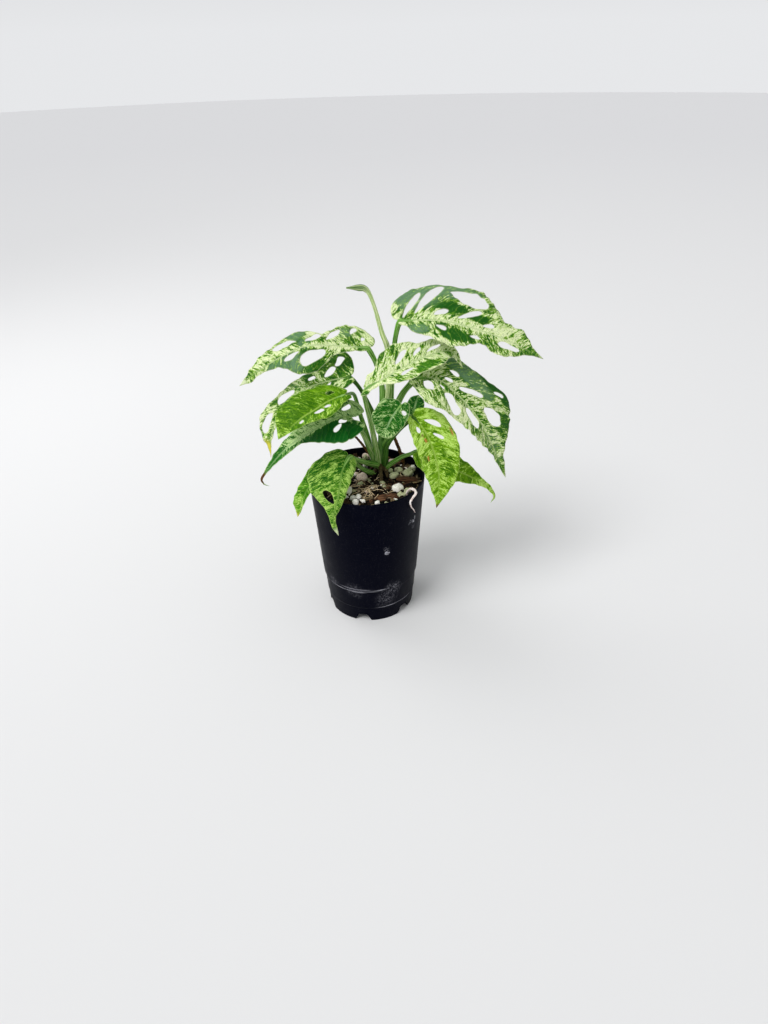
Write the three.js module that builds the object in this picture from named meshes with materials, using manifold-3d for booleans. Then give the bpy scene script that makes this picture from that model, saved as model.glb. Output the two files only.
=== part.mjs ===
// A young variegated swiss cheese vine in a plastic nursery pot, in millimetres, +Z up.
// The plant is built round the pot's axis first, and the whole group is then moved so that the
// origin is the centre of the bounding box's bottom.
import * as THREE from "three";
import Module from "manifold-3d";

const wasm = await Module();
wasm.setup();
const { Manifold, Mesh } = wasm;

const GAP = 0.35; // left between solids that rest on each other

// Pot
const POT_HEIGHT = 132;
const POT_RIM_R = 50;
const POT_BASE_R = 40.4;
const POT_WALL = 1.5;
const STEP_Z = 35; // the wall steps in below this height
const STEP_IN = 0.9;
const FOOT_Z = 15;
const FOOT_IN = 0.5;
const FLOOR_Z = 8.6;
const FLOOR_THICK = 1.6;
const NOTCHES = 6;
const NOTCH = { bottom: 16, top: 8, height: 7.2 };
const NOTCH_TURN = -0.18; // of the spacing between notches, from the front
const DRAIN_HOLE = { r: 4, ring: 24, count: 6 };
const POT_SEGMENTS = 60;
const MIDDLE_Z = 78; // the wall runs in two straight stretches that meet here

// Soil
const SOIL_TOP = 126;
const SOIL_RINGS = 7;
const SOIL_SEGMENTS = 30;
const SOIL_ROUGH = 1.4;
const SOIL_EDGE_DROP = 2; // at the wall
const BARK_HALF_THICK = 4;
const STONES = [
  // [x, y, radius, height over the soil]
  [-17, -15, 4.5, 2.4],
  [-17, -29, 4.2, 2.2],
  [-11, -30, 4.0, 2.2],
  [-6, -30, 3.8, 2.0],
  [-9, -37, 3.4, 1.6],
  [-3, -36, 3.4, 1.6],
  [8, -37, 3.0, 1.4],
  [27, -16, 5.0, 3.0],
  [-5, 10, 5.5, 2.6],
  [23, 8, 5.0, 2.6],
  [34, 13, 5.2, 2.4],
  [27, -25, 4.0, 2.0],
  [31, -24, 3.6, 2.0],
  [-14, 38, 3.6, 1.6],
  [-1, 40, 3.6, 1.6],
  [38, 20, 3.4, 2.0],
];
const BARK = [
  // [x, y, half length, half width, turn in degrees, height over the soil]
  [34, 0, 11, 5, 8, 2.6],
  [35, -11, 9, 3.6, 4, 2.0],
  [-28, 10, 9, 4, 70, 2.0],
  [4, -22, 10, 3.6, 20, 1.6],
  [-30, -8, 8, 4, -35, 1.8],
  [16, 36, 9, 4, 5, 1.8],
];

// Leaves
const BLADE_THICK = 0.75;
const RIB_THICK = 0.9; // extra under the midrib
const RIB_WIDTH = 1.6;
const OUTLINE_STEP = 5.5;
const HOLE_STEP = 4.2;
const BULGE = 0.006; // each half arches between the rib and the margin
const WAVE = { height: 1.1, length: 36, shift: 2.4 }; // of the margin; shift is between the halves
const INNER_STEP = 8.5; // between points inside the outline
const INNER_ROWS = 6;
const INNER_MARGIN = 4.25; // kept clear of the outline and the holes
const RIB_STEP = 5.95; // between points on the midrib
const RIB_MARGIN = 1.6;
const JITTER = 1e-3; // keeps the points off one circle
const PETIOLE_SIDES = 9;
const PETIOLE_STEP = 8;

// Each leaf: rib = midrib points from the base to the tip; up = upper face direction at the base
// and at the tip; fold = how far the left and right halves rise from the rib, in degrees;
// left and right = margin points [along the rib, across]; holes = [along, across, length, width,
// turn], with across below 0 on the left half; stalk = petiole points and its two radii.
const LEAVES = [
  {
    name: "upper_right",
    rib: [[31, 18, 261], [62, 12, 262], [89, 8, 256], [112, 4, 248], [143, 0, 233]],
    up: [[0, -0.3, 1], [0.15, -0.3, 1]],
    fold: [8, -18],
    left: [[-6, 2], [-9, 10], [-7, 19], [1, 31], [9, 35], [21, 38], [33, 41], [47, 42], [58, 41],
      [66, 33], [72, 26], [80, 16], [88, 15], [96, 15], [102, 11], [108, 5], [114, 2]],
    right: [[-1, 3], [6, 7], [14, 13], [25, 16], [35, 19], [47, 21], [56, 18], [64, 13], [70, 12],
      [77, 15], [85, 16], [93, 13], [100, 8], [108, 3]],
    holes: [[7, -15.5, 28, 5.5, 67], [20, -22, 36, 7.5, 59], [31, -8, 12, 4, 30],
      [50, -28, 31, 15, -16], [53, -11, 20, 4.5, 33], [33, 6, 9, 3.5, 20], [61, 8, 8, 3, 5],
      [69, -6, 9, 3.5, 15], [89, 5, 18, 6, 175]],
    stalk: { points: [[20, 20, 172], [23, 21, 205], [26, 21, 240], [30, 19, 259]], radii: [3, 2] },
  },
  {
    name: "upper_left",
    rib: [[5, 18, 239], [-18, 14, 243], [-46, 9, 245], [-80, 4, 230], [-99, 0, 217]],
    up: [[0, -0.25, 1], [-0.15, -0.25, 1]],
    fold: [-30, 5],
    left: [[2, 3], [11, 4], [20, 6], [28, 9], [33, 14], [40, 20], [48, 24], [58, 23], [67, 18],
      [73, 11], [80, 7], [88, 5], [96, 4], [103, 5], [109, 2]],
    right: [[-5, 4], [-6, 12], [-1, 20], [4, 26], [12, 27], [20, 24], [28, 19], [36, 14], [44, 15],
      [52, 18], [60, 18], [70, 17], [78, 15], [86, 13], [94, 9], [101, 5], [108, 2]],
    holes: [[47, -10, 25, 11, 18], [64, -4, 14, 4, 8], [67, 10, 20, 6, 8], [44, 8, 14, 4.5, 155],
      [28, 12, 17, 5, 135], [11, 19, 11, 4, 118], [4, 9, 6, 3, 116]],
    stalk: { points: [[15, 18, 173], [15, 18, 207], [11, 18, 225], [5, 18, 238]], radii: [3.2, 2] },
  },
  {
    name: "centre",
    rib: [[4, -12, 218], [30, -6, 230], [49, 0, 237], [70, 6, 239], [80, 4, 226]],
    up: [[0, -0.55, 1], [0.3, -0.45, 1]],
    fold: [8, 8],
    left: [[-3, 2], [0, 5], [6, 10], [12, 11], [18, 18], [26, 21], [35, 22], [44, 19], [52, 13],
      [60, 13], [66, 10], [74, 5], [83, 2]],
    right: [[-6, 2], [-8, 5], [-3, 6], [5, 4], [13, 6], [23, 12], [33, 14], [42, 13], [51, 14],
      [61, 14], [69, 9], [77, 5], [84, 2]],
    holes: [[34, -9, 15, 4, 27], [47, -7, 8, 3, 30], [60, -5, 12, 2.6, 12], [33, 5, 11, 3, 176]],
    stalk: {
      points: [[10, 14, 136], [6, 4, 173], [2, -5, 200], [1, -10, 212], [4, -12, 217]],
      radii: [2.8, 1.9],
    },
  },
  {
    name: "right",
    rib: [[42, 2, 219], [61, -4, 219], [81, -10, 202], [97, -18, 181], [115, -28, 142]],
    up: [[0.4, -0.4, 0.8], [0.6, -0.5, 0.6]],
    fold: [5, 5],
    left: [[-4, 3], [-3, 9], [4, 16], [17, 26], [31, 28], [41, 32], [51, 35], [58, 39], [66, 40],
      [74, 37], [82, 29], [90, 19], [95, 12.5], [100, 8], [106, 5], [113, 2.4]],
    right: [[-4, 3], [-3, 8], [1, 12], [7, 20], [17, 30], [27, 31], [37, 27], [50, 24], [62, 21],
      [72, 18], [82, 13.5], [89, 9], [95, 6.5], [101, 5], [108, 3.2], [114, 2]],
    holes: [[13, 9, 17, 7, 54], [24, 6, 5, 3.5, 20], [39, 14, 22, 11, 25], [60, 6, 19, 9, 14],
      [26, -5, 7, 3, 12], [27, -13, 8, 3.5, 10], [45, -11, 21, 5, 32], [70, -13, 19, 11, 16],
      [61, -33, 9, 3.5, 44]],
    stalk: { points: [[21, 16, 174], [31, 9, 201], [39, 4, 214], [42, 2, 218]], radii: [3, 2.4] },
  },
  {
    name: "lower_right",
    rib: [[39, -20, 196], [50, -26, 182], [58, -34, 159], [59, -39, 143], [57, -45, 125]],
    up: [[0.1, -0.75, 0.65], [0.1, -0.9, 0.4]],
    fold: [8, 8],
    left: [[-2, 2], [-3, 6], [0, 11], [8, 17], [15, 20], [24, 21], [34, 21], [43, 19], [52, 16],
      [60, 12], [68, 7], [75, 3]],
    right: [[-2, 2], [-2, 5], [3, 8], [10, 11], [20, 13], [31, 13], [41, 12], [50, 12], [58, 9],
      [66, 6], [74, 2]],
    holes: [[13, -9, 13, 3.5, 40], [11, 4, 6, 3, 10], [23, -8, 9, 2.5, 44], [37, 8, 7, 2.5, 170]],
    stalk: {
      points: [[16, 14, 137], [18, 10, 154], [27, -3, 174], [36, -16, 190], [39, -20, 195]],
      radii: [2.2, 1.7],
    },
  },
  {
    name: "far_right",
    rib: [[45, 5, 150], [63, 2, 139], [82, 0, 131], [98, -2, 123], [106, -3, 117], [111, -4, 109],
      [108, -4, 102]],
    up: [[0.1, -0.5, 0.85], [0.3, -0.6, 0.7]],
    fold: [0, 0],
    left: [[-3, 3], [-3, 8], [4, 13], [14, 17], [26, 17], [37, 14], [48, 10], [58, 5], [66, 3],
      [76, 1.6]],
    right: [[-3, 3], [-3, 7], [4, 12], [14, 14], [26, 13], [38, 10], [47, 8], [57, 5], [66, 3],
      [76, 1.6]],
    holes: [[16, -7, 10, 3.5, 40], [28, 6, 9, 3, 35]],
    stalk: { points: [[15, 15, 127], [29, 13, 140], [38, 9, 146], [44, 6, 150]], radii: [2.1, 1.6] },
  },
  {
    name: "small_centre",
    rib: [[30, -20, 207], [22, -26, 198], [17, -29, 189], [13, -30, 184]],
    up: [[0, -0.7, 0.7], [0, -0.9, 0.5]],
    fold: [8, 8],
    left: [[-3, 2], [-3, 6], [3, 10], [10, 12], [18, 11], [25, 8], [29, 4]],
    right: [[-1, 3], [1, 9], [6, 14], [13, 15], [20, 14], [26, 10], [30, 5]],
    holes: [[5, -6, 5, 3, 80]],
    stalk: { points: [[16, 14, 153], [23, 0, 176], [29, -16, 200], [30, -20, 205]], radii: [1.8, 1.4] },
  },
  {
    name: "small_right",
    rib: [[39, -11, 193], [41, -9, 199], [44, -6, 208]],
    up: [[0, -0.8, 0.6], [0, -0.8, 0.6]],
    fold: [5, 5],
    left: [[-2, 2], [0, 4.5], [5, 6.5], [10, 6.5], [14, 4.5]],
    right: [[-2, 2], [0, 5], [5, 7], [10, 7], [14, 5]],
    holes: [],
    stalk: { points: [[19, 17, 154], [31, 4, 177], [38, -8, 190], [39, -10, 192]], radii: [1.5, 1.2] },
  },
  {
    name: "left",
    rib: [[-15, -16, 214], [-26, -21, 212], [-37, -28, 208], [-49, -35, 203], [-66, -44, 191]],
    up: [[0, -0.4, 0.9], [-0.2, -0.6, 0.8]],
    fold: [8, 8],
    left: [[-4, 2], [-4, 6], [2, 8], [9, 12], [20, 14], [28, 12], [37, 9], [46, 6], [54, 3]],
    right: [[-4, 2], [-3, 5], [2, 9], [6, 13], [13, 16], [22, 18], [30, 20], [38, 20], [46, 20],
      [53, 15], [58, 8]],
    holes: [[9, 6, 6, 3, 20], [17, -4, 6, 2.5, 160], [25, -4, 8, 3.5, 165], [41, -3, 4, 2.5, 170]],
    stalk: {
      points: [[2, 18, 157], [-4, 19, 180], [-8, 16, 199], [-12, -1, 208], [-15, -16, 213]],
      radii: [2, 1.5],
    },
  },
  {
    name: "far_left",
    rib: [[-10, 6, 220], [-31, 8, 215], [-52, 8, 207], [-70, 6, 190], [-79, 4, 170], [-81, 2, 150]],
    up: [[-0.2, -0.3, 0.9], [-0.7, -0.3, 0.6]],
    fold: [8, 8],
    left: [[-3, 3], [-3, 9], [4, 16], [16, 20], [28, 20], [38, 17], [48, 14], [58, 12], [68, 10],
      [78, 9], [88, 7], [97, 4], [106, 2]],
    right: [[-3, 4], [-3, 12], [0, 22], [6, 28], [12, 28], [20, 20], [30, 14], [40, 13], [52, 13],
      [62, 14], [71, 17], [81, 21], [88, 21], [95, 15], [100, 8], [106, 2]],
    holes: [[9, 17, 11, 6, 120], [17, 8, 11, 6, 140], [32, 7, 6, 4, 164], [57, 6, 18, 7, 12],
      [84, 9, 20, 9, 15], [20, -9, 15, 4, 60]],
    stalk: { points: [[12, 19, 165], [0, 12, 201], [-9, 6, 218]], radii: [2, 1.6] },
  },
  {
    name: "lower_left",
    rib: [[-12, -8, 190], [-22, -11, 192], [-44, -18, 183], [-64, -25, 172], [-83, -31, 152],
      [-84, -32, 145], [-79, -32, 142]],
    up: [[0, -0.45, 0.9], [-0.3, -0.5, 0.8]],
    fold: [8, 8],
    left: [[-5, 3], [-11, 6], [-10, 12], [-5, 18], [2, 24], [10, 27], [20, 25], [33, 16], [44, 7],
      [53, 6], [61, 6], [70, 4], [82, 2]],
    right: [[-6, 2], [-13, 6], [-12, 12], [-6, 17], [2, 17], [10, 10], [20, 6], [30, 8], [41, 9],
      [50, 8], [60, 6], [72, 4], [83, 2]],
    holes: [[7, -5, 9, 4.5, 23], [14, -11, 10, 4.5, 29], [2, 9, 10, 4, 144]],
    stalk: { points: [[7, 15, 138], [2, 9, 156], [-3, -1, 174], [-12, -8, 189.5]], radii: [2.8, 1.8] },
  },
  {
    name: "front_left",
    rib: [[-14, -18, 159], [-19, -28, 153], [-21, -40, 146], [-23, -51, 139], [-27, -60, 126],
      [-23, -64, 113]],
    up: [[-0.1, -0.6, 0.8], [-0.1, -0.9, 0.3]],
    fold: [-30, 5],
    left: [[-4, 2], [-2, 6], [4, 9], [11, 10], [20, 9], [31, 7], [42, 5], [50, 3.4], [57, 2.2],
      [64, 1.8]],
    right: [[-4, 3], [-4, 10], [0, 16], [9, 21], [15, 26], [22, 27], [30, 25], [38, 22], [44, 16],
      [48, 10], [52, 5], [57, 2.6], [64, 1.8]],
    holes: [[39, 7, 14, 6, 136]],
    stalk: { points: [[12, 15, 130], [-1, 0, 144], [-11, -14, 156], [-13, -17, 159]], radii: [2.5, 2] },
  },
  {
    name: "front_far_left",
    rib: [[-14, -6, 146], [-30, -18, 148], [-45, -28, 141], [-53, -34, 129], [-58, -38, 115]],
    up: [[-0.2, -0.6, 0.8], [-0.3, -0.8, 0.5]],
    fold: [8, 8],
    left: [[-3, 2], [-2, 7], [6, 11], [18, 12], [30, 9], [42, 5], [54, 3], [64, 2]],
    right: [[-3, 2], [-2, 7], [6, 11], [18, 12], [30, 11], [42, 8], [52, 8], [60, 7], [66, 3]],
    holes: [],
    stalk: { points: [[9, 12, 122], [-2, 3, 135], [-10, -3, 145], [-13, -5, 146]], radii: [2.1, 1.7] },
  },
];

const STEM = { points: [[12, 17, 105], [12, 17, 128], [14, 17, 156], [17, 17, 178]], radii: [4, 3.4] };
const NEW_LEAF = {
  points: [[21, 17, 210], [20.5, 17.5, 237], [16, 16, 253], [12, 15, 269], [8, 14, 282],
    [4, 14, 288], [-1, 14, 289], [-10, 14, 289]],
  radii: [2.8, 2.6, 2.4, 2.1, 1.7, 1.5, 1.6, 0.6],
};
const LOOSE_ROOTS = [
  { name: "dry_root_left", points: [[4, 15, 142], [-4, 9, 158], [-10, 4, 169]], radii: [1.3, 0.9] },
  {
    name: "dry_root_right",
    points: [[20, 21, 168], [25, 24, 154], [31, 28, 134], [32, 29, 125], [32, 29, 112]],
    radii: [1.4, 1.6],
  },
  {
    name: "pale_root_on_rim",
    points: [[32, -22, 120], [34, -25.5, 128.5], [36.6, -29.2, 134], [39.6, -32.4, 135],
      [40.6, -34.2, 132.4], [38, -36.6, 130.2], [35.9, -38.5, 127], [36.8, -37, 121.5],
      [39, -33.4, 116], [40.2, -31.2, 112]],
    radii: [1, 0.9, 0.8, 0.6],
  },
];

const LOOKS = {
  pot: { color: 0x14141c, roughness: 0.4, metalness: 0 },
  soil: { color: 0x3a2a1e, roughness: 0.9, metalness: 0 },
  stem: { color: 0x5f9a44, roughness: 0.5, metalness: 0 },
  petiole: { color: 0x6fae50, roughness: 0.5, metalness: 0 },
  new_leaf: { color: 0xb9d98c, roughness: 0.5, metalness: 0 },
  dry_root: { color: 0x8a5a2b, roughness: 0.8, metalness: 0 },
  pale_root: { color: 0xe8e2d2, roughness: 0.6, metalness: 0 },
  lime: { color: 0x8dbf33, roughness: 0.45, metalness: 0 },
  cream: { color: 0xb9cf96, roughness: 0.45, metalness: 0 },
  dark: { color: 0x3f7a3a, roughness: 0.4, metalness: 0 },
};
const BLADE_LOOK = {
  upper_right: "cream",
  upper_left: "cream",
  centre: "cream",
  right: "cream",
  lower_right: "lime",
  far_right: "lime",
  small_centre: "dark",
  small_right: "dark",
  left: "lime",
  far_left: "cream",
  lower_left: "dark",
  front_left: "lime",
  front_far_left: "lime",
};

// Small vector helpers

const vec = (p) => new THREE.Vector3(p[0], p[1], p[2]);

function random(seed) {
  let state = seed;
  return () => {
    state = (state * 1664525 + 1013904223) % 4294967296;
    return state / 4294967296;
  };
}

function curve(points, closed = false) {
  return new THREE.CatmullRomCurve3(points.map(vec), closed, "catmullrom", 0.5);
}

// Solids

function solid(positions, triangles) {
  return new Manifold(
    new Mesh({
      numProp: 3,
      vertProperties: new Float32Array(positions.flat()),
      triVerts: new Uint32Array(triangles.flat()),
    }),
  );
}

function solidOfGeometry(geometry) {
  const mesh = geometry.index ? geometry.toNonIndexed() : geometry;
  const at = mesh.getAttribute("position");
  const seen = new Map();
  const positions = [];
  const triangles = [];
  for (let i = 0; i < at.count; i += 3) {
    const triangle = [0, 1, 2].map((k) => {
      const p = [at.getX(i + k), at.getY(i + k), at.getZ(i + k)];
      const key = p.map((v) => Math.round(v * 1e4)).join();
      if (!seen.has(key)) {
        seen.set(key, positions.length);
        positions.push(p);
      }
      return seen.get(key);
    });
    if (new Set(triangle).size === 3) triangles.push(triangle);
  }
  return solid(positions, triangles);
}

function largest(made) {
  const bodies = made.decompose();
  return bodies.reduce((best, body) => (body.volume() > best.volume() ? body : best));
}

function mesh(name, made, look) {
  const data = made.getMesh();
  const geometry = new THREE.BufferGeometry();
  const positions = new Float32Array(data.numVert * 3);
  for (let i = 0; i < data.numVert; i++)
    for (let k = 0; k < 3; k++)
      positions[3 * i + k] = data.vertProperties[i * data.numProp + k];
  geometry.setAttribute("position", new THREE.BufferAttribute(positions, 3));
  geometry.setIndex(Array.from(data.triVerts));
  const flat = geometry.toNonIndexed();
  flat.computeVertexNormals();
  const node = new THREE.Mesh(flat, new THREE.MeshStandardMaterial(LOOKS[look]));
  node.name = name;
  return node;
}

// A round tube along a smooth curve, with a rounded tip where its last radius is small.
function tube(points, radii, grow = 0) {
  const path = curve(points);
  const steps = Math.max(3, Math.round(path.getLength() / PETIOLE_STEP));
  const frames = path.computeFrenetFrames(steps, false);
  const positions = [];
  const triangles = [];
  for (let i = 0; i <= steps; i++) {
    const centre = path.getPointAt(i / steps);
    const place = (i / steps) * (radii.length - 1);
    const low = Math.min(Math.floor(place), radii.length - 2);
    const radius = radii[low] + (radii[low + 1] - radii[low]) * (place - low) + grow;
    for (let k = 0; k < PETIOLE_SIDES; k++) {
      const angle = (2 * Math.PI * k) / PETIOLE_SIDES;
      const p = centre
        .clone()
        .addScaledVector(frames.normals[i], radius * Math.cos(angle))
        .addScaledVector(frames.binormals[i], radius * Math.sin(angle));
      positions.push(p.toArray());
    }
  }
  for (let i = 0; i < steps; i++)
    for (let k = 0; k < PETIOLE_SIDES; k++) {
      const a = i * PETIOLE_SIDES + k;
      const b = i * PETIOLE_SIDES + ((k + 1) % PETIOLE_SIDES);
      triangles.push([a, b, b + PETIOLE_SIDES], [a, b + PETIOLE_SIDES, a + PETIOLE_SIDES]);
    }
  const last = steps * PETIOLE_SIDES;
  for (let k = 1; k < PETIOLE_SIDES - 1; k++) {
    triangles.push([0, k + 1, k]);
    triangles.push([last, last + k, last + k + 1]);
  }
  const made = solid(positions, triangles);
  if (made.volume() > 0) return made;
  return solid(positions, triangles.map(([a, b, c]) => [a, c, b]));
}

// Leaf blades

// The blade's surface: along runs down the midrib from the base, across runs out from it.
function bladeSurface(leaf) {
  const path = curve(leaf.rib);
  path.arcLengthDivisions = 400;
  const length = path.getLength();
  const place = (along) => {
    if (along <= 0) return path.getPointAt(0).addScaledVector(path.getTangentAt(0), along);
    if (along >= length)
      return path.getPointAt(1).addScaledVector(path.getTangentAt(1), along - length);
    return path.getPointAt(along / length);
  };
  const widest = [leaf.left, leaf.right].map((side) => Math.max(...side.map((p) => p[1])));
  const up0 = vec(leaf.up[0]).normalize();
  const up1 = vec(leaf.up[1]).normalize();
  const point = (along, across) => {
    const forward = place(along + 3).sub(place(along - 3)).normalize();
    const share = Math.min(1, Math.max(0, along / length));
    const up = up0.clone().lerp(up1, share);
    up.addScaledVector(forward, -up.dot(forward)).normalize();
    const side = forward.clone().cross(up);
    const half = across < 0 ? 0 : 1;
    const fold = THREE.MathUtils.degToRad(leaf.fold[half]);
    const out = Math.abs(across);
    const wide = widest[half];
    const swell = BULGE * out * Math.max(0, wide - out);
    const phase = (2 * Math.PI * along) / WAVE.length + WAVE.shift * half + wide;
    const wave = WAVE.height * Math.min(1, out / wide) ** 2 * Math.sin(phase);
    return place(along)
      .addScaledVector(side, across * Math.cos(fold))
      .addScaledVector(up, out * Math.sin(fold) + swell + wave);
  };
  const normal = (along, across) => {
    const h = 0.5;
    const a = point(along + h, across).sub(point(along - h, across));
    const b = point(along, across + h).sub(point(along, across - h));
    return b.cross(a).normalize();
  };
  return { length, point, normal };
}

// A smooth line through flat points, cut into equal steps.
function flatLine(points, step, closed = false) {
  const path = curve(points.map(([a, b]) => [a, b, 0]), closed);
  const count = Math.max(closed ? 8 : 2, Math.round(path.getLength() / step));
  const out = [];
  for (let i = 0; i <= count; i++) out.push(path.getPointAt(i / count));
  if (closed) out.pop();
  return out.map((p) => [p.x, p.y]);
}

function flatOutline(leaf, length) {
  const sides = [leaf.right, leaf.left.map(([a, b]) => [a, -b])].map((side) =>
    flatLine([[0, 0], ...side, [length, 0]], OUTLINE_STEP),
  );
  return [...sides[0], ...sides[1].slice(1, -1).reverse()];
}

function flatHole([along, across, long, wide, turn]) {
  const angle = THREE.MathUtils.degToRad(across < 0 ? -turn : turn);
  const around = Math.PI * (long + wide) * 0.5;
  const count = Math.max(8, 2 * Math.round(around / HOLE_STEP / 2));
  const out = [];
  for (let i = 0; i < count; i++) {
    const t = (2 * Math.PI * i) / count;
    const u = (long / 2) * Math.cos(t);
    const v = (wide / 2) * Math.sin(t) * (1 + 0.2 * Math.cos(t));
    out.push([
      along + u * Math.cos(angle) - v * Math.sin(angle),
      across + u * Math.sin(angle) + v * Math.cos(angle),
    ]);
  }
  return out;
}

function inside([x, y], loop) {
  let odd = false;
  for (let i = 0, j = loop.length - 1; i < loop.length; j = i++) {
    const [xi, yi] = loop[i];
    const [xj, yj] = loop[j];
    if (yi > y !== yj > y && x < ((xj - xi) * (y - yi)) / (yj - yi) + xi) odd = !odd;
  }
  return odd;
}

// Bowyer-Watson triangulation of flat points.
function delaunay(points) {
  const far = 1e4;
  const all = [...points, [-far, -far], [far, -far], [0, far]];
  const n = points.length;
  const circle = (a, b, c) => {
    const [ax, ay] = all[a];
    const bx = all[b][0] - ax;
    const by = all[b][1] - ay;
    const cx = all[c][0] - ax;
    const cy = all[c][1] - ay;
    const d = 2 * (bx * cy - by * cx);
    const x = (cy * (bx * bx + by * by) - by * (cx * cx + cy * cy)) / d;
    const y = (bx * (cx * cx + cy * cy) - cx * (bx * bx + by * by)) / d;
    return { x: ax + x, y: ay + y, rr: x * x + y * y };
  };
  let triangles = [{ v: [n, n + 1, n + 2], c: circle(n, n + 1, n + 2) }];
  for (let i = 0; i < n; i++) {
    const [x, y] = all[i];
    const edges = new Map();
    const kept = [];
    for (const t of triangles) {
      if ((x - t.c.x) ** 2 + (y - t.c.y) ** 2 > t.c.rr) {
        kept.push(t);
        continue;
      }
      for (const [a, b] of [[t.v[0], t.v[1]], [t.v[1], t.v[2]], [t.v[2], t.v[0]]]) {
        if (edges.has(b + "," + a)) edges.delete(b + "," + a);
        else edges.set(a + "," + b, [a, b]);
      }
    }
    for (const [a, b] of edges.values()) kept.push({ v: [a, b, i], c: circle(a, b, i) });
    triangles = kept;
  }
  return triangles.map((t) => t.v).filter((v) => v.every((k) => k < n));
}

// Flat triangles of a blade, turning anticlockwise in (along, across).
function bladeTriangles(leaf, length, grow) {
  let outline = flatOutline(leaf, length);
  if (grow > 0) {
    outline = outline.map((p, i) => {
      const a = outline[(i + outline.length - 1) % outline.length];
      const b = outline[(i + 1) % outline.length];
      const size = Math.hypot(b[0] - a[0], b[1] - a[1]);
      return [p[0] - (grow * (b[1] - a[1])) / size, p[1] + (grow * (b[0] - a[0])) / size];
    });
  }
  const holes = grow > 0 ? [] : leaf.holes.map(flatHole);
  const clear = (p, reach) =>
    inside(p, outline) &&
    !holes.some((hole) => inside(p, hole)) &&
    ![outline, ...holes].some((loop) =>
      loop.some(([x, y]) => Math.hypot(x - p[0], y - p[1]) < reach),
    );
  const points = [...outline, ...holes.flat()];
  const wiggle = random(7);
  const jitter = () => (wiggle() - 0.5) * JITTER;
  for (let along = 4; along < length - 3; along += RIB_STEP)
    if (clear([along, 0], RIB_MARGIN)) points.push([along, 0]);
  for (let row = -INNER_ROWS; row <= INNER_ROWS; row++) {
    if (row === 0) continue;
    const across = row * INNER_STEP * Math.sin(Math.PI / 3);
    const shift = row % 2 ? 0.5 : 0;
    for (let along = -12 + shift * INNER_STEP; along < length; along += INNER_STEP) {
      const p = [along + jitter(), across + jitter()];
      if (clear(p, INNER_MARGIN)) points.push(p);
    }
  }
  const triangles = delaunay(points).filter((v) => {
    const x = (points[v[0]][0] + points[v[1]][0] + points[v[2]][0]) / 3;
    const y = (points[v[0]][1] + points[v[1]][1] + points[v[2]][1]) / 3;
    return inside([x, y], outline) && !holes.some((hole) => inside([x, y], hole));
  });
  const outward = (v) => (turnOf(points, v) > 0 ? v : [v[0], v[2], v[1]]);
  return { points, triangles: triangles.map(outward) };
}

// Twice the signed area of a flat triangle.
function turnOf(points, [a, b, c]) {
  const [ax, ay] = points[a];
  return (
    (points[b][0] - ax) * (points[c][1] - ay) - (points[b][1] - ay) * (points[c][0] - ax)
  );
}

function bladeSolid(leaf, grow = 0) {
  const surface = bladeSurface(leaf);
  const { points, triangles } = bladeTriangles(leaf, surface.length, grow);
  const top = [];
  const bottom = [];
  for (const [along, across] of points) {
    const middle = surface.point(along, across);
    const normal = surface.normal(along, across);
    const share = Math.min(1, Math.max(0, along / surface.length));
    const ridge = RIB_THICK * Math.exp(-((across / RIB_WIDTH) ** 2)) * (1 - share);
    top.push(middle.clone().addScaledVector(normal, BLADE_THICK / 2 + grow).toArray());
    bottom.push(
      middle.clone().addScaledVector(normal, -BLADE_THICK / 2 - ridge - grow).toArray(),
    );
  }
  const n = points.length;
  const faces = [];
  const edges = new Map();
  for (const [a, b, c] of triangles) {
    faces.push([a, c, b], [a + n, b + n, c + n]);
    for (const [p, q] of [[a, b], [b, c], [c, a]]) {
      if (edges.has(q + "," + p)) edges.delete(q + "," + p);
      else edges.set(p + "," + q, [p, q]);
    }
  }
  for (const [p, q] of edges.values()) faces.push([p, q, q + n], [p, q + n, p + n]);
  return largest(solid([...top, ...bottom], faces));
}

// Pot

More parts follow.
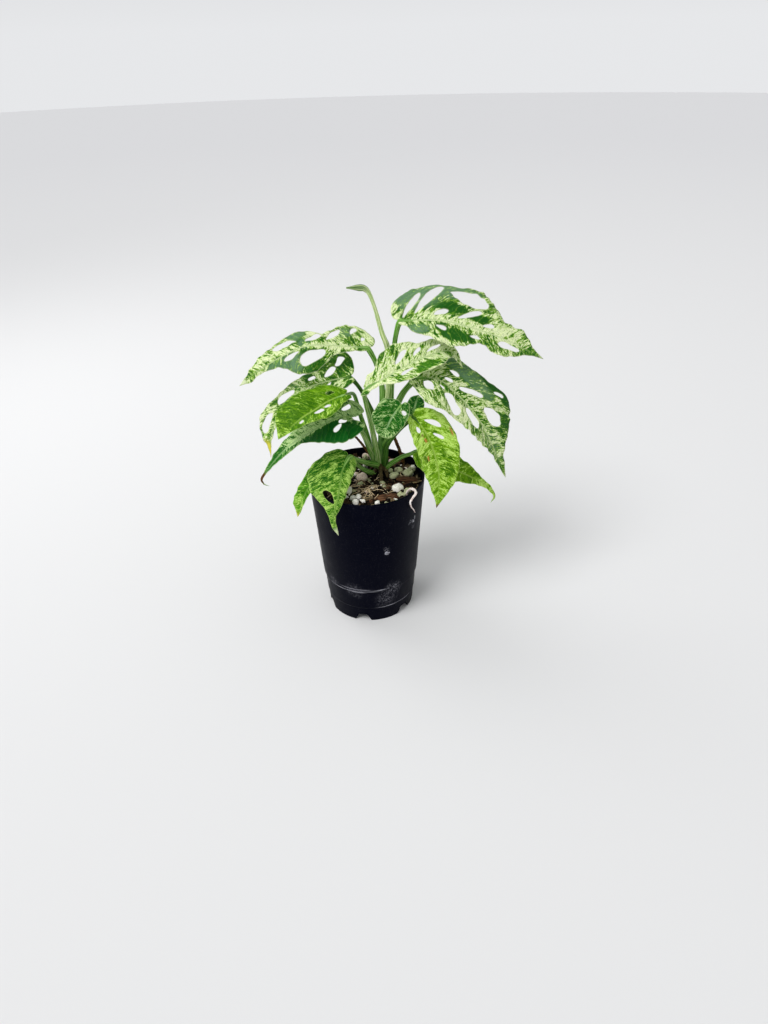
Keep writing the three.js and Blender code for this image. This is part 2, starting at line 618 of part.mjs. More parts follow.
function potSolid() {
  const slope = (POT_RIM_R - POT_BASE_R) / POT_HEIGHT;
  const outer = (z) => POT_BASE_R + slope * z;
  const profile = [
    [outer(0) - STEP_IN - FOOT_IN, 0],
    [outer(FOOT_Z) - STEP_IN - FOOT_IN, FOOT_Z],
    [outer(FOOT_Z) - STEP_IN, FOOT_Z + 0.6],
    [outer(STEP_Z) - STEP_IN, STEP_Z],
    [outer(STEP_Z + 1), STEP_Z + 1],
    [outer(MIDDLE_Z), MIDDLE_Z],
    [POT_RIM_R, POT_HEIGHT],
    [POT_RIM_R - POT_WALL, POT_HEIGHT],
    [outer(MIDDLE_Z) - POT_WALL, MIDDLE_Z],
    [outer(STEP_Z) - STEP_IN - POT_WALL, STEP_Z],
    [outer(FLOOR_Z) - STEP_IN - POT_WALL, FLOOR_Z + FLOOR_THICK],
    [0, FLOOR_Z + FLOOR_THICK],
    [0, FLOOR_Z],
    [outer(FLOOR_Z) - STEP_IN - POT_WALL - 1, FLOOR_Z],
    [outer(0) - STEP_IN - POT_WALL - 1.2, 0],
    [outer(0) - STEP_IN - FOOT_IN, 0],
  ];
  const lathe = new THREE.LatheGeometry(
    profile.map(([r, z]) => new THREE.Vector2(r, z)),
    POT_SEGMENTS,
  );
  lathe.rotateX(Math.PI / 2);
  let pot = solidOfGeometry(lathe);
  if (pot.volume() < 0) {
    lathe.scale(-1, 1, 1);
    pot = solidOfGeometry(lathe);
  }
  for (let i = 0; i < NOTCHES; i++) {
    const shape = new THREE.Shape();
    shape.moveTo(-NOTCH.bottom / 2, -1);
    shape.lineTo(NOTCH.bottom / 2, -1);
    shape.lineTo(NOTCH.top / 2, NOTCH.height);
    shape.lineTo(-NOTCH.top / 2, NOTCH.height);
    const cut = new THREE.ExtrudeGeometry(shape, { depth: 16, bevelEnabled: false });
    cut.rotateX(Math.PI / 2);
    cut.translate(0, -28, 0);
    cut.rotateZ(((i + NOTCH_TURN) / NOTCHES) * 2 * Math.PI);
    pot = pot.subtract(solidOfGeometry(cut));
  }
  for (let i = 0; i < DRAIN_HOLE.count; i++) {
    const drill = new THREE.CylinderGeometry(DRAIN_HOLE.r, DRAIN_HOLE.r, 12, 12);
    drill.rotateX(Math.PI / 2);
    const angle = ((i + 0.5) / DRAIN_HOLE.count) * 2 * Math.PI;
    drill.translate(
      DRAIN_HOLE.ring * Math.cos(angle),
      DRAIN_HOLE.ring * Math.sin(angle),
      FLOOR_Z,
    );
    pot = pot.subtract(solidOfGeometry(drill));
  }
  return pot;
}

// Soil: a plug with a rough top, its stones and bark chips fused in.
function soilSolid() {
  const rough = random(21);
  const slope = (POT_RIM_R - POT_BASE_R) / POT_HEIGHT;
  const wall = (z) => POT_BASE_R + slope * z - POT_WALL - GAP;
  const bottomZ = FLOOR_Z + FLOOR_THICK + GAP;
  const positions = [[0, 0, SOIL_TOP]];
  for (let ring = 1; ring <= SOIL_RINGS; ring++)
    for (let k = 0; k < SOIL_SEGMENTS; k++) {
      const turnAngle = (2 * Math.PI * k) / SOIL_SEGMENTS;
      const r = (ring / SOIL_RINGS) * wall(SOIL_TOP - SOIL_EDGE_DROP);
      const z = SOIL_TOP + (rough() - 0.5) * 2 * SOIL_ROUGH - (ring === SOIL_RINGS ? SOIL_EDGE_DROP : 0);
      positions.push([r * Math.cos(turnAngle), r * Math.sin(turnAngle), z]);
    }
  for (const [z, r] of [
    [MIDDLE_Z, wall(MIDDLE_Z)],
    [STEP_Z, wall(STEP_Z) - STEP_IN],
    [bottomZ, wall(FLOOR_Z) - STEP_IN],
  ])
    for (let k = 0; k < SOIL_SEGMENTS; k++) {
      const turnAngle = (2 * Math.PI * k) / SOIL_SEGMENTS;
      positions.push([r * Math.cos(turnAngle), r * Math.sin(turnAngle), z]);
    }
  positions.push([0, 0, bottomZ]);
  const rings = SOIL_RINGS + 3;
  const triangles = [];
  const at = (ring, k) => 1 + ring * SOIL_SEGMENTS + (k % SOIL_SEGMENTS);
  for (let k = 0; k < SOIL_SEGMENTS; k++) {
    triangles.push([0, at(0, k), at(0, k + 1)]);
    for (let ring = 0; ring < rings - 1; ring++)
      triangles.push(
        [at(ring, k), at(ring + 1, k), at(ring + 1, k + 1)],
        [at(ring, k), at(ring + 1, k + 1), at(ring, k + 1)],
      );
    triangles.push([at(rings - 1, k), positions.length - 1, at(rings - 1, k + 1)]);
  }
  let soil = solid(positions, triangles);
  const lump = (x, y, z, scale, angle) => {
    const grain = new THREE.IcosahedronGeometry(1, 0);
    grain.rotateZ(rough() * 6);
    grain.scale(...scale);
    grain.rotateZ(THREE.MathUtils.degToRad(angle));
    grain.translate(x, y, z);
    soil = soil.add(solidOfGeometry(grain));
  };
  for (const [x, y, r, rise] of STONES) lump(x, y, SOIL_TOP + rise - r, [r, r, r], 0);
  for (const [x, y, long, wide, angle, rise] of BARK)
    lump(x, y, SOIL_TOP + rise - BARK_HALF_THICK, [long, wide, BARK_HALF_THICK], angle);
  return soil;
}

// Assembly

const group = new THREE.Group();
const clearOf = (made, others) => largest(others.reduce((body, other) => body.subtract(other), made));

const stem = tube(STEM.points, STEM.radii);
const nearStem = tube(STEM.points, STEM.radii, GAP);
const taken = [nearStem];
const blades = LEAVES.map((leaf) => ({
  leaf,
  blade: bladeSolid(leaf),
  grown: bladeSolid(leaf, 2 * GAP),
}));

for (const { leaf, blade, grown } of blades) {
  const { points, radii } = leaf.stalk;
  const petiole = clearOf(tube(points, radii), [...taken, grown]);
  taken.push(tube(points, radii, GAP));
  group.add(mesh("blade_" + leaf.name, blade, BLADE_LOOK[leaf.name]));
  group.add(mesh("petiole_" + leaf.name, petiole, "petiole"));
}

group.add(mesh("main_stem", stem, "stem"));
const newLeaf = clearOf(tube(NEW_LEAF.points, NEW_LEAF.radii), taken);
group.add(mesh("new_leaf", newLeaf, "new_leaf"));
const roots = LOOSE_ROOTS.map((root) => ({
  name: root.name,
  body: clearOf(tube(root.points, root.radii), taken),
  grown: tube(root.points, root.radii, GAP),
}));
for (const root of roots)
  group.add(mesh(root.name, root.body, root.name.startsWith("pale") ? "pale_root" : "dry_root"));

const pot = potSolid();
const soil = clearOf(soilSolid(), [...taken, ...roots.map((root) => root.grown)]);
group.add(mesh("pot", pot, "pot"));
group.add(mesh("soil", soil, "soil"));

const box = new THREE.Box3().setFromObject(group);
group.position.set(-(box.min.x + box.max.x) / 2, -(box.min.y + box.max.y) / 2, -box.min.z);

export default group;
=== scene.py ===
# A potted variegated swiss cheese vine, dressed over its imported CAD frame.
# Points and sizes are in millimetres from the middle of the pot's foot; meshes are made in metres.
import math

import bpy
import numpy as np
from mathutils import Matrix, Vector
from mathutils.geometry import delaunay_2d_cdt


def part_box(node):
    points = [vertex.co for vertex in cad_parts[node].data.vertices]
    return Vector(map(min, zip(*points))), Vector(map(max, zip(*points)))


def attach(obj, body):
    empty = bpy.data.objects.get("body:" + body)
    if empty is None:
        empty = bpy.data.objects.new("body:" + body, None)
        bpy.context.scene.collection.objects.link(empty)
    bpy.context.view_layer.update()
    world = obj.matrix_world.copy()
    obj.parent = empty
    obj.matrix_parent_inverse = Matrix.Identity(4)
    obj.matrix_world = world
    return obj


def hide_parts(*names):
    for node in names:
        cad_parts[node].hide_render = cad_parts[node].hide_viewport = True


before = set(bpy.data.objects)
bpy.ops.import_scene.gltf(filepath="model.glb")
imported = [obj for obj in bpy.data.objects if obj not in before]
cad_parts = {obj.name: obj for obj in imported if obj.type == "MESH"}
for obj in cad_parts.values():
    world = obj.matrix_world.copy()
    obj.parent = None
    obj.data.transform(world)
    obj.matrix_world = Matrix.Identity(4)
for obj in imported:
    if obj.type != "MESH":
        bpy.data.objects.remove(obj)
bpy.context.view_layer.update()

MM = 0.001
pot_low, pot_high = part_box("pot")
POT_AXIS = np.array([(pot_low[0] + pot_high[0]) / 2, (pot_low[1] + pot_high[1]) / 2, 0.0])

# Pot
POT_HEIGHT = 132
POT_RIM_R = 50
POT_BASE_R = 40.4
POT_WALL = 1.5
STEP_Z = 35
STEP_IN = 0.9
FOOT_Z = 15
FOOT_IN = 0.5
FLOOR_Z = 8.6
FLOOR_THICK = 1.6
NOTCHES = 6
NOTCH_TURN = -0.18
NOTCH_BOTTOM = 16
NOTCH_TOP = 8
NOTCH_HEIGHT = 7.2
NOTCH_REACH = (-28, -44)  # from inside the wall to outside it
DRAIN_RADIUS = 4
DRAIN_RING = 24
DRAIN_HOLES = 6
DRAIN_SIDES = 24
POT_SEGMENTS = 240
POT_MEAN_R = 45  # turns an angle round the wall into a length
POT_BLACK = (0.006, 0.009, 0.045)
POT_FILM = (0.06, 0.06, 0.10)
POT_SCRAPED = (0.78, 0.78, 0.82)
POT_SHEEN = (0.35, 0.42, 1.0)
SCRAPE_FROM = 0.53  # scrape noise over this begins to show
SCRAPE_FULL = 0.61
SCRAPE_EASE = 0.011  # how far a scuff of strength 1 lowers both
SCUFF_DRIFT = (7, 7, 9)  # how far the scuffs' outlines wander
WEAR_FADE = 0.25  # radians over which a worn line fades at each end
SCUFFS = [  # [angle, height, radius, strength] of scraped spots on the wall
    (-70.8, 79.2, 1.7, 2.8),
    (-70.5, 84, 2.4, 0.4),
    (-34.3, 102.7, 1.6, 1.3),
    (-39, 102, 2.8, 0.35),
    (-35, 96, 2.2, 0.25),
    (-61, 35.5, 7, 0.24),
    (-69, 26, 9, 0.16),
    (-110, 36, 7, 0.14),
    (-140, 39, 5, 0.16),
    (118, 70, 3.4, 0.6),
    (35, 52, 3, 0.6),
    (160, 96, 2.6, 0.5),
]
RUBBED = [  # [first angle, last angle, height, half width, strength] of worn lines round the wall
    (-176, -91, 35.0, 0.7, 0.95),
    (-132, -84, 38.6, 0.45, 0.6),
    (-90, -66, 37.6, 0.6, 0.8),
    (-120, -72, 36.6, 0.5, 0.4),
    (-88, -24, 15.6, 0.5, 0.8),
    (20, 84, 35.0, 0.6, 0.7),
    (118, 168, 34.8, 0.5, 0.6),
    (58, 112, 15.4, 0.4, 0.6),
]

# Potting mix
SOIL_TOP = 126
SOIL_BOTTOM = FLOOR_Z + FLOOR_THICK + 0.35
CROWN = (12, 17)  # where the stem stands
PERLITE = [  # [x, y, radius, rise over the mix]
    (26.4, -17.9, 4.6, 4.6), (-15.9, -22.3, 3.4, 3.4), (-16.1, -28.6, 3.0, 3.4),
    (-11.6, -31.5, 2.8, 2.8), (-7.3, -31.2, 3.1, 3.2), (-9.4, -38.0, 3.4, 3.0),
    (-3.4, -36.2, 2.4, 2.2), (-14.3, -16.8, 2.4, 2.2), (8.8, -38.6, 2.2, 2.0),
    (23.8, -34.8, 2.0, 1.6), (41.0, 18.0, 2.6, 2.4), (-6.2, 15.8, 1.9, 1.8), (4.3, -15.3, 1.6, 1.6),
]
PUMICE = [(-4.6, 1.8, 4.8, 4.4), (-14, 38, 3.6, 2.6), (-1, 40, 3.2, 2.4), (22, 30, 3, 2.4)]
STONES = [
    (23.7, 2.4, 4.0, 4.2), (35.7, 7.6, 4.4, 3.6), (29.1, -28.0, 3.4, 3.2), (34.5, -21.5, 3.6, 3.2),
    (28.2, 13.9, 3.6, 3.0), (-1.5, 39.1, 3.0, 2.2), (-5.9, -9.0, 3.0, 2.2), (39.0, 16.0, 2.2, 1.8),
    (20.7, 12.6, 2.0, 1.8), (14.6, -14.2, 1.6, 1.6),
]
BARK = [  # [x, y, half length, half width, turn, rise]
    (35, -2.6, 9.5, 4.2, -8, 3.4), (30.5, -10.6, 7.5, 2.6, -6, 2.4), (16, -31, 9, 3.4, 14, 2.4),
    (22.5, -27, 6, 2.4, -24, 2.0), (8, -31, 6.5, 2.4, 30, 2.0), (-3, -22, 5, 2.2, 60, 1.6),
    (19, -12, 6, 2.2, 78, 2.0), (27, 25, 7, 3, 40, 2.0), (-28, 10, 9, 4, 70, 2.0),
    (-30, -8, 8, 4, -35, 1.8), (14, 37, 8, 3, 5, 1.8),
]
BARK_HALF_THICK = 2.4
BARK_PORE = (0.03, 0.02, 0.015)
CHIP_SQUARENESS = 0.62  # 1 is round, less is boxier
STONE_SQUARENESS = 0.85
CRUMBS = 1250
CHIPS = 190
CRUMB_REACH = 46.5  # how far from the pot's axis they lie
GRAIN_REACH = 44
BED_RINGS = 60
BED_SIDES = 180
FINE_ROOTS = 60
FINE_ROOTS_NEAR = 24  # of them, in front of the crown
FINE_ROOT_REACH = 33

# Leaf blades
BULGE = 0.006
WAVE_HEIGHT = 1.1
WAVE_LENGTH = 36
WAVE_SHIFT = 2.4
RIB_RIDGE = 1.0
RIB_WIDTH = 1.3
EDGE_STEP = 1.0
EDGE_WOBBLE = 0.28
HOLE_WOBBLE = 0.04
INNER_STEP = 1.35
ROW_SQUEEZE = 0.87  # rows of points lie this much closer than the points in them
VEIN_SPACING = 7.5
VEIN_RELIEF = 0.5
VEIN_SLANT = 0.5  # how far a side vein leans to the tip for each step out
VEIN_CURVE = 0.008
PUCKER = 0.28
RUFFLE = 0.7
FOLD = (8, 8)
BACK_PALER = 0.45  # share of BACK_GREEN in the undersides
BACK_GREEN = (0.60, 0.74, 0.46)
GREEN_DEPTH = (0.7, 1.0, 0.3)  # how deep red, green and blue light go in the tissue

# Each leaf: rib, up, fold, left, right, holes and stalk as in the frame, with FOLD for a fold and no
# holes where none are given, and radii for the petiole's two ends. look names the blade's palette
# and stalk_look the petiole's. fine packs veins and marbling closer, and ruffle scales the ripple
# along the edge. paint holds how much cream and dark green the blade has, how much grey green
# sheen is painted on it where its gloss would reflect the bright surroundings, and how pale its
# margin is. patches are [along, across, half length, half width, {channel: value}] spots where
# that differs, and stains are [along, across, half length, half width, colour] marks.
# The third paint channel is a painted sheen: grey green laid on where the glossy blade would reflect
# light.
CREAM, DARK, PAINTED_SHEEN = range(3)
YELLOW = (0.82, 0.80, 0.26)
BROWN = (0.36, 0.22, 0.08)
ORANGE = (0.78, 0.50, 0.26)
PALE = (0.84, 0.89, 0.70)
LEAVES = {
    "upper_right": dict(
        look="variegated",
        rib=[(31, 18, 261), (62, 12, 262), (89, 8, 256), (112, 4, 248), (143, 0, 233)],
        up=[(0, -0.3, 1), (0.15, -0.3, 1)],
        fold=(8, -18),
        left=[(-6, 2), (-9, 10), (-7, 19), (1, 31), (9, 35), (21, 38), (33, 41), (47, 42), (58, 41),
              (66, 33), (72, 26), (80, 16), (88, 15), (96, 15), (102, 11), (108, 5), (114, 2)],
        right=[(-1, 3), (6, 7), (14, 13), (25, 16), (35, 19), (47, 21), (56, 18), (64, 13), (70, 12),
               (77, 15), (85, 16), (93, 13), (100, 8), (108, 3)],
        holes=[(7, -15.5, 28, 5.5, 67), (20, -22, 36, 7.5, 59), (31, -8, 12, 4, 30),
               (50, -28, 31, 15, -16), (53, -11, 20, 4.5, 33), (33, 6, 9, 3.5, 20), (61, 8, 8, 3, 5),
               (69, -6, 9, 3.5, 15), (89, 5, 18, 6, 175)],
        stalk=[(20, 20, 172), (23, 21, 205), (26, 21, 240), (30, 19, 259)],
        radii=(3, 2),
        paint=(0.42, 0.72, 0.06, 0.35),
        patches=[(8, -22, 20, 12, {PAINTED_SHEEN: 0.95, CREAM: 0.12}),
                 (34, -33, 26, 9, {PAINTED_SHEEN: 0.95, CREAM: 0.1}), (-8, -9, 5, 8, {CREAM: 0.65}),
                 (-5, 5, 9, 8, {CREAM: 0.95}), (14, 9, 10, 5, {PAINTED_SHEEN: 0.9, CREAM: 0.15}),
                 (38, -14, 11, 5, {DARK: 1.2, CREAM: -0.3}),
                 (60, -10, 8, 3.5, {DARK: 1.2, CREAM: -0.2}),
                 (36, 6, 8, 4, {DARK: 1.0, CREAM: 0.05}), (46, 11, 12, 5, {DARK: 1.1, CREAM: -0.2}),
                 (26, 18, 16, 4, {CREAM: 0.72}), (52, -2, 26, 4, {CREAM: 0.66}),
                 (75, 12, 9, 4, {DARK: 0.7, CREAM: 0.2}), (85, -5, 12, 10, {CREAM: 0.66}),
                 (108, 1, 6, 5, {CREAM: 0.25})],
    ),
    "upper_left": dict(
        look="variegated",
        rib=[(5, 18, 239), (-18, 14, 243), (-46, 9, 245), (-80, 4, 230), (-99, 0, 217)],
        up=[(0, -0.25, 1), (-0.15, -0.25, 1)],
        fold=(-30, 5),
        left=[(2, 3), (11, 4), (20, 6), (28, 9), (33, 14), (40, 20), (48, 24), (58, 23), (67, 18),
              (73, 11), (80, 7), (88, 5), (96, 4), (103, 5), (109, 2)],
        right=[(-5, 4), (-6, 12), (-1, 20), (4, 26), (12, 27), (20, 24), (28, 19), (36, 14), (44, 15),
               (52, 18), (60, 18), (70, 17), (78, 15), (86, 13), (94, 9), (101, 5), (108, 2)],
        holes=[(47, -10, 25, 11, 18), (64, -4, 14, 4, 8), (67, 10, 20, 6, 8), (44, 8, 14, 4.5, 155),
               (28, 12, 17, 5, 135), (11, 19, 11, 4, 118), (4, 9, 6, 3, 116)],
        stalk=[(15, 18, 173), (15, 18, 207), (11, 18, 225), (5, 18, 238)],
        radii=(3.2, 2),
        paint=(0.42, 0.72, 0.05, 0.4),
        patches=[(48, -14, 13, 12, {CREAM: 0.04, DARK: 0.9}),
                 (64, -10, 9, 9, {PAINTED_SHEEN: 0.9, CREAM: 0.15}),
                 (56, 15, 7, 6, {PAINTED_SHEEN: 0.8, CREAM: 0.15}),
                 (51, 3, 6, 5, {DARK: 0.8, CREAM: 0.15, PAINTED_SHEEN: 0.6}), (43, 11, 6, 5, {CREAM: 0.65}),
                 (18, 16, 6, 6, {PAINTED_SHEEN: 0.8, CREAM: 0.15}), (7, 6, 6, 4, {DARK: 0.8, CREAM: 0.2}),
                 (1, 10, 5, 10, {CREAM: 0.62}), (32, 0, 22, 4, {CREAM: 0.66}),
                 (80, 9, 12, 7, {CREAM: 0.62}), (78, -6, 12, 5, {PAINTED_SHEEN: 0.7, CREAM: 0.2}),
                 (101, 0, 8, 6, {DARK: 0.8, CREAM: 0.3})],
        stains=[(109, 0, 3, 3, PALE)],
    ),
    "centre": dict(
        look="variegated",
        rib=[(4, -12, 218), (30, -6, 230), (49, 0, 237), (70, 6, 239), (80, 4, 226)],
        up=[(0, -0.55, 1), (0.3, -0.45, 1)],
        left=[(-3, 2), (0, 5), (6, 10), (12, 11), (18, 18), (26, 21), (35, 22), (44, 19), (52, 13),
              (60, 13), (66, 10), (74, 5), (83, 2)],
        right=[(-6, 2), (-8, 5), (-3, 6), (5, 4), (13, 6), (23, 12), (33, 14), (42, 13), (51, 14),
               (61, 14), (69, 9), (77, 5), (84, 2)],
        holes=[(34, -9, 15, 4, 27), (47, -7, 8, 3, 30), (60, -5, 12, 2.6, 12), (33, 5, 11, 3, 176)],
        stalk=[(10, 14, 136), (6, 4, 173), (2, -5, 200), (1, -10, 212), (4, -12, 217)],
        radii=(2.8, 1.9),
        stalk_look="pale",
        paint=(0.56, 0.6, 0.04, 0.5),
        patches=[(22, -18, 15, 7, {CREAM: 0.3, DARK: 0.8}),
                 (49, 9, 10, 4, {CREAM: 0.08, DARK: 0.35}), (66, 13, 7, 5, {CREAM: 0.3, DARK: 0.8}),
                 (4, 4, 9, 6, {CREAM: 0.8}), (-4, 5, 4, 5, {CREAM: 0.35}),
                 (48, -16, 12, 7, {CREAM: 0.74}), (64, -8, 6, 5, {CREAM: 0.45, PAINTED_SHEEN: 0.4})],
    ),
    "right": dict(
        look="variegated",
        rib=[(42, 2, 219), (61, -4, 219), (81, -10, 202), (97, -18, 181), (115, -28, 142)],
        up=[(0.4, -0.4, 0.8), (0.6, -0.5, 0.6)],
        fold=(5, 5),
        left=[(-4, 3), (-3, 9), (4, 16), (17, 26), (31, 28), (41, 32), (51, 35), (58, 39), (66, 40),
              (74, 37), (82, 29), (90, 19), (95, 12.5), (100, 8), (106, 5), (113, 2.4)],
        right=[(-4, 3), (-3, 8), (1, 12), (7, 20), (17, 30), (27, 31), (37, 27), (50, 24), (62, 21),
               (72, 18), (82, 13.5), (89, 9), (95, 6.5), (101, 5), (108, 3.2), (114, 2)],
        holes=[(13, 9, 17, 7, 54), (24, 6, 5, 3.5, 20), (39, 14, 22, 11, 25), (60, 6, 19, 9, 14),
               (26, -5, 7, 3, 12), (27, -13, 8, 3.5, 10), (45, -11, 21, 5, 32), (70, -13, 19, 11, 16),
               (61, -33, 9, 3.5, 44)],
        stalk=[(21, 16, 174), (31, 9, 201), (39, 4, 214), (42, 2, 218)],
        radii=(3, 2.4),
        paint=(0.42, 0.8, 0.05, 0.35),
        patches=[(50, -38, 28, 8, {CREAM: -0.3, DARK: 1.2}),
                 (36, -22, 26, 8, {PAINTED_SHEEN: 0.85, CREAM: 0.12}),
                 (20, 2, 14, 6, {DARK: 0.8, CREAM: 0.35}),
                 (82, -20, 12, 9, {DARK: 1.1, CREAM: 0.1}), (47, 16, 14, 9, {CREAM: 0.72}),
                 (24, 26, 14, 6, {CREAM: 0.55, DARK: 0.8}),
                 (88, 0, 16, 9, {PAINTED_SHEEN: 0.4, CREAM: 0.48}),
                 (108, 0, 8, 8, {CREAM: 0.25, DARK: 0.7})],
    ),
    "lower_right": dict(
        look="lime",
        fine=1.5,
        ruffle=0.6,
        rib=[(39, -20, 196), (50, -26, 182), (58, -34, 159), (59, -39, 143), (57, -45, 125)],
        up=[(0.1, -0.75, 0.65), (0.1, -0.9, 0.4)],
        left=[(-2, 2), (-3, 6), (0, 11), (8, 17), (15, 20), (24, 21), (34, 21), (43, 19), (52, 16),
              (60, 12), (68, 7), (75, 3)],
        right=[(-2, 2), (-2, 5), (3, 8), (10, 11), (20, 13), (31, 13), (41, 12), (50, 12), (58, 9),
               (66, 6), (74, 2)],
        holes=[(13, -9, 13, 3.5, 40), (11, 4, 6, 3, 10), (23, -8, 9, 2.5, 44), (37, 8, 7, 2.5, 170)],
        stalk=[(16, 14, 137), (18, 10, 154), (27, -3, 174), (36, -16, 190), (39, -20, 195)],
        radii=(2.2, 1.7),
        stalk_look="dark",
        paint=(0.34, 0.4, 0.0, 0.3),
        patches=[(44, -8, 11, 6, {DARK: 0.8, CREAM: 0.3}), (12, -15, 12, 8, {CREAM: 0.62}),
                 (26, -14, 8, 6, {CREAM: 0.55}), (22, 8, 20, 6, {CREAM: 0.5})],
        stains=[(22, 3, 2.4, 1, ORANGE), (37, 6, 2.6, 1, ORANGE), (17, 4, 1.4, 0.8, BROWN),
                (24, -19, 3, 0.9, ORANGE), (80, -1, 3.5, 3, BROWN)],
    ),
    "far_right": dict(
        look="lime",
        fine=1.3,
        ruffle=0.6,
        rib=[(45, 5, 150), (63, 2, 139), (82, 0, 131), (98, -2, 123), (106, -3, 117), (111, -4, 109),
             (108, -4, 102)],
        up=[(0.1, -0.5, 0.85), (0.3, -0.6, 0.7)],
        fold=(0, 0),
        left=[(-3, 3), (-3, 8), (4, 13), (14, 17), (26, 17), (37, 14), (48, 10), (58, 5), (66, 3),
              (76, 1.6)],
        right=[(-3, 3), (-3, 7), (4, 12), (14, 14), (26, 13), (38, 10), (47, 8), (57, 5), (66, 3),
               (76, 1.6)],
        holes=[(16, -7, 10, 3.5, 40), (28, 6, 9, 3, 35)],
        stalk=[(15, 15, 127), (29, 13, 140), (38, 9, 146), (44, 6, 150)],
        radii=(2.1, 1.6),
        paint=(0.28, 0.5, 0.0, 0.35),
        patches=[(70, 0, 12, 6, {CREAM: 0.6}), (30, 0, 14, 12, {CREAM: 0.3})],
        stains=[(97, 0, 5, 5, PALE)],
    ),
    "small_centre": dict(
        look="dark",
        fine=2.7,
        ruffle=1.4,
        rib=[(30, -20, 207), (22, -26, 198), (17, -29, 189), (13, -30, 184)],
        up=[(0, -0.7, 0.7), (0, -0.9, 0.5)],
        left=[(-3, 2), (-3, 6), (3, 10), (10, 12), (18, 11), (25, 8), (29, 4)],
        right=[(-1, 3), (1, 9), (6, 14), (13, 15), (20, 14), (26, 10), (30, 5)],
        holes=[(5, -6, 5, 3, 80)],
        stalk=[(16, 14, 153), (23, 0, 176), (29, -16, 200), (30, -20, 205)],
        radii=(1.8, 1.4),
        paint=(0.30, 0.95, 0.0, 0.5),
        patches=[(28, -2, 5, 14, {CREAM: 0.42}), (12, -2, 10, 8, {DARK: 0.8, CREAM: 0.2})],
    ),
    "small_right": dict(
        look="dark",
        fine=1.5,
        rib=[(39, -11, 193), (41, -9, 199), (44, -6, 208)],
        up=[(0, -0.8, 0.6), (0, -0.8, 0.6)],
        fold=(5, 5),
        left=[(-2, 2), (0, 4.5), (5, 6.5), (10, 6.5), (14, 4.5)],
        right=[(-2, 2), (0, 5), (5, 7), (10, 7), (14, 5)],
        stalk=[(19, 17, 154), (31, 4, 177), (38, -8, 190), (39, -10, 192)],
        radii=(1.5, 1.2),
        paint=(0.22, 0.65, 0.1, 0.3),
    ),
    "left": dict(
        look="lime",
        fine=2.0,
        ruffle=0.5,
        rib=[(-15, -16, 214), (-26, -21, 212), (-37, -28, 208), (-49, -35, 203), (-66, -44, 191)],
        up=[(0, -0.4, 0.9), (-0.2, -0.6, 0.8)],
        left=[(-4, 2), (-4, 6), (2, 8), (9, 12), (20, 14), (28, 12), (37, 9), (46, 6), (54, 3)],
        right=[(-4, 2), (-3, 5), (2, 9), (6, 13), (13, 16), (22, 18), (30, 20), (38, 20), (46, 20),
               (53, 15), (58, 8)],
        holes=[(9, 6, 6, 3, 20), (17, -4, 6, 2.5, 160), (25, -4, 8, 3.5, 165), (41, -3, 4, 2.5, 170)],
        stalk=[(2, 18, 157), (-4, 19, 180), (-8, 16, 199), (-12, -1, 208), (-15, -16, 213)],
        radii=(2, 1.5),
        paint=(0.08, 0.74, 0.0, 0.35),
        patches=[(8, 4, 10, 10, {DARK: 0.6}), (10, 16, 10, 8, {DARK: 0.5}),
                 (58, 6, 8, 12, {CREAM: 0.3}), (24, -8, 20, 4, {CREAM: 0.3})],
    ),
    "far_left": dict(
        look="variegated",
        rib=[(-10, 6, 220), (-31, 8, 215), (-52, 8, 207), (-70, 6, 190), (-79, 4, 170), (-81, 2, 150)],
        up=[(-0.2, -0.3, 0.9), (-0.7, -0.3, 0.6)],
        left=[(-3, 3), (-3, 9), (4, 16), (16, 20), (28, 20), (38, 17), (48, 14), (58, 12), (68, 10),
              (78, 9), (88, 7), (97, 4), (106, 2)],
        right=[(-3, 4), (-3, 12), (0, 22), (6, 28), (12, 28), (20, 20), (30, 14), (40, 13), (52, 13),
               (62, 14), (71, 17), (81, 21), (88, 21), (95, 15), (100, 8), (106, 2)],
        holes=[(9, 17, 11, 6, 120), (17, 8, 11, 6, 140), (32, 7, 6, 4, 164), (57, 6, 18, 7, 12),
               (84, 9, 20, 9, 15), (20, -9, 15, 4, 60)],
        stalk=[(12, 19, 165), (0, 12, 201), (-9, 6, 218)],
        radii=(2, 1.6),
        stalk_look="dark",
        paint=(0.38, 0.72, 0.05, 0.25),
        patches=[(9, 16, 13, 11, {DARK: 0.7, CREAM: 0.1}), (38, 10, 7, 5, {DARK: 0.95, CREAM: 0.1}),
                 (48, 6, 10, 8, {CREAM: 0.5, PAINTED_SHEEN: 0.35}), (80, 14, 14, 10, {CREAM: 0.6}),
                 (12, -8, 10, 7, {CREAM: 0.4}), (96, 8, 8, 8, {DARK: 0.5})],
        stains=[(104, 3, 7, 9, YELLOW), (111, 0, 3, 3, ORANGE)],
    ),
    "lower_left": dict(
        look="dark",
        fine=1.5,
        ruffle=0.35,
        rib=[(-12, -8, 190), (-22, -11, 192), (-44, -18, 183), (-64, -25, 172), (-83, -31, 152),
             (-84, -32, 145), (-79, -32, 142)],
        up=[(0, -0.45, 0.9), (-0.3, -0.5, 0.8)],
        left=[(-5, 3), (-11, 6), (-10, 12), (-5, 18), (2, 24), (10, 27), (20, 25), (33, 16), (44, 7),
              (53, 6), (61, 6), (70, 4), (82, 2)],
        right=[(-6, 2), (-13, 6), (-12, 12), (-6, 17), (2, 17), (10, 10), (20, 6), (30, 8), (41, 9),
               (50, 8), (60, 6), (72, 4), (83, 2)],
        holes=[(7, -5, 9, 4.5, 23), (14, -11, 10, 4.5, 29), (2, 9, 10, 4, 144)],
        stalk=[(7, 15, 138), (2, 9, 156), (-3, -1, 174), (-12, -8, 189.5)],
        radii=(2.8, 1.8),
        stalk_look="pale",
        paint=(0.40, 0.75, 0.05, 0.45),
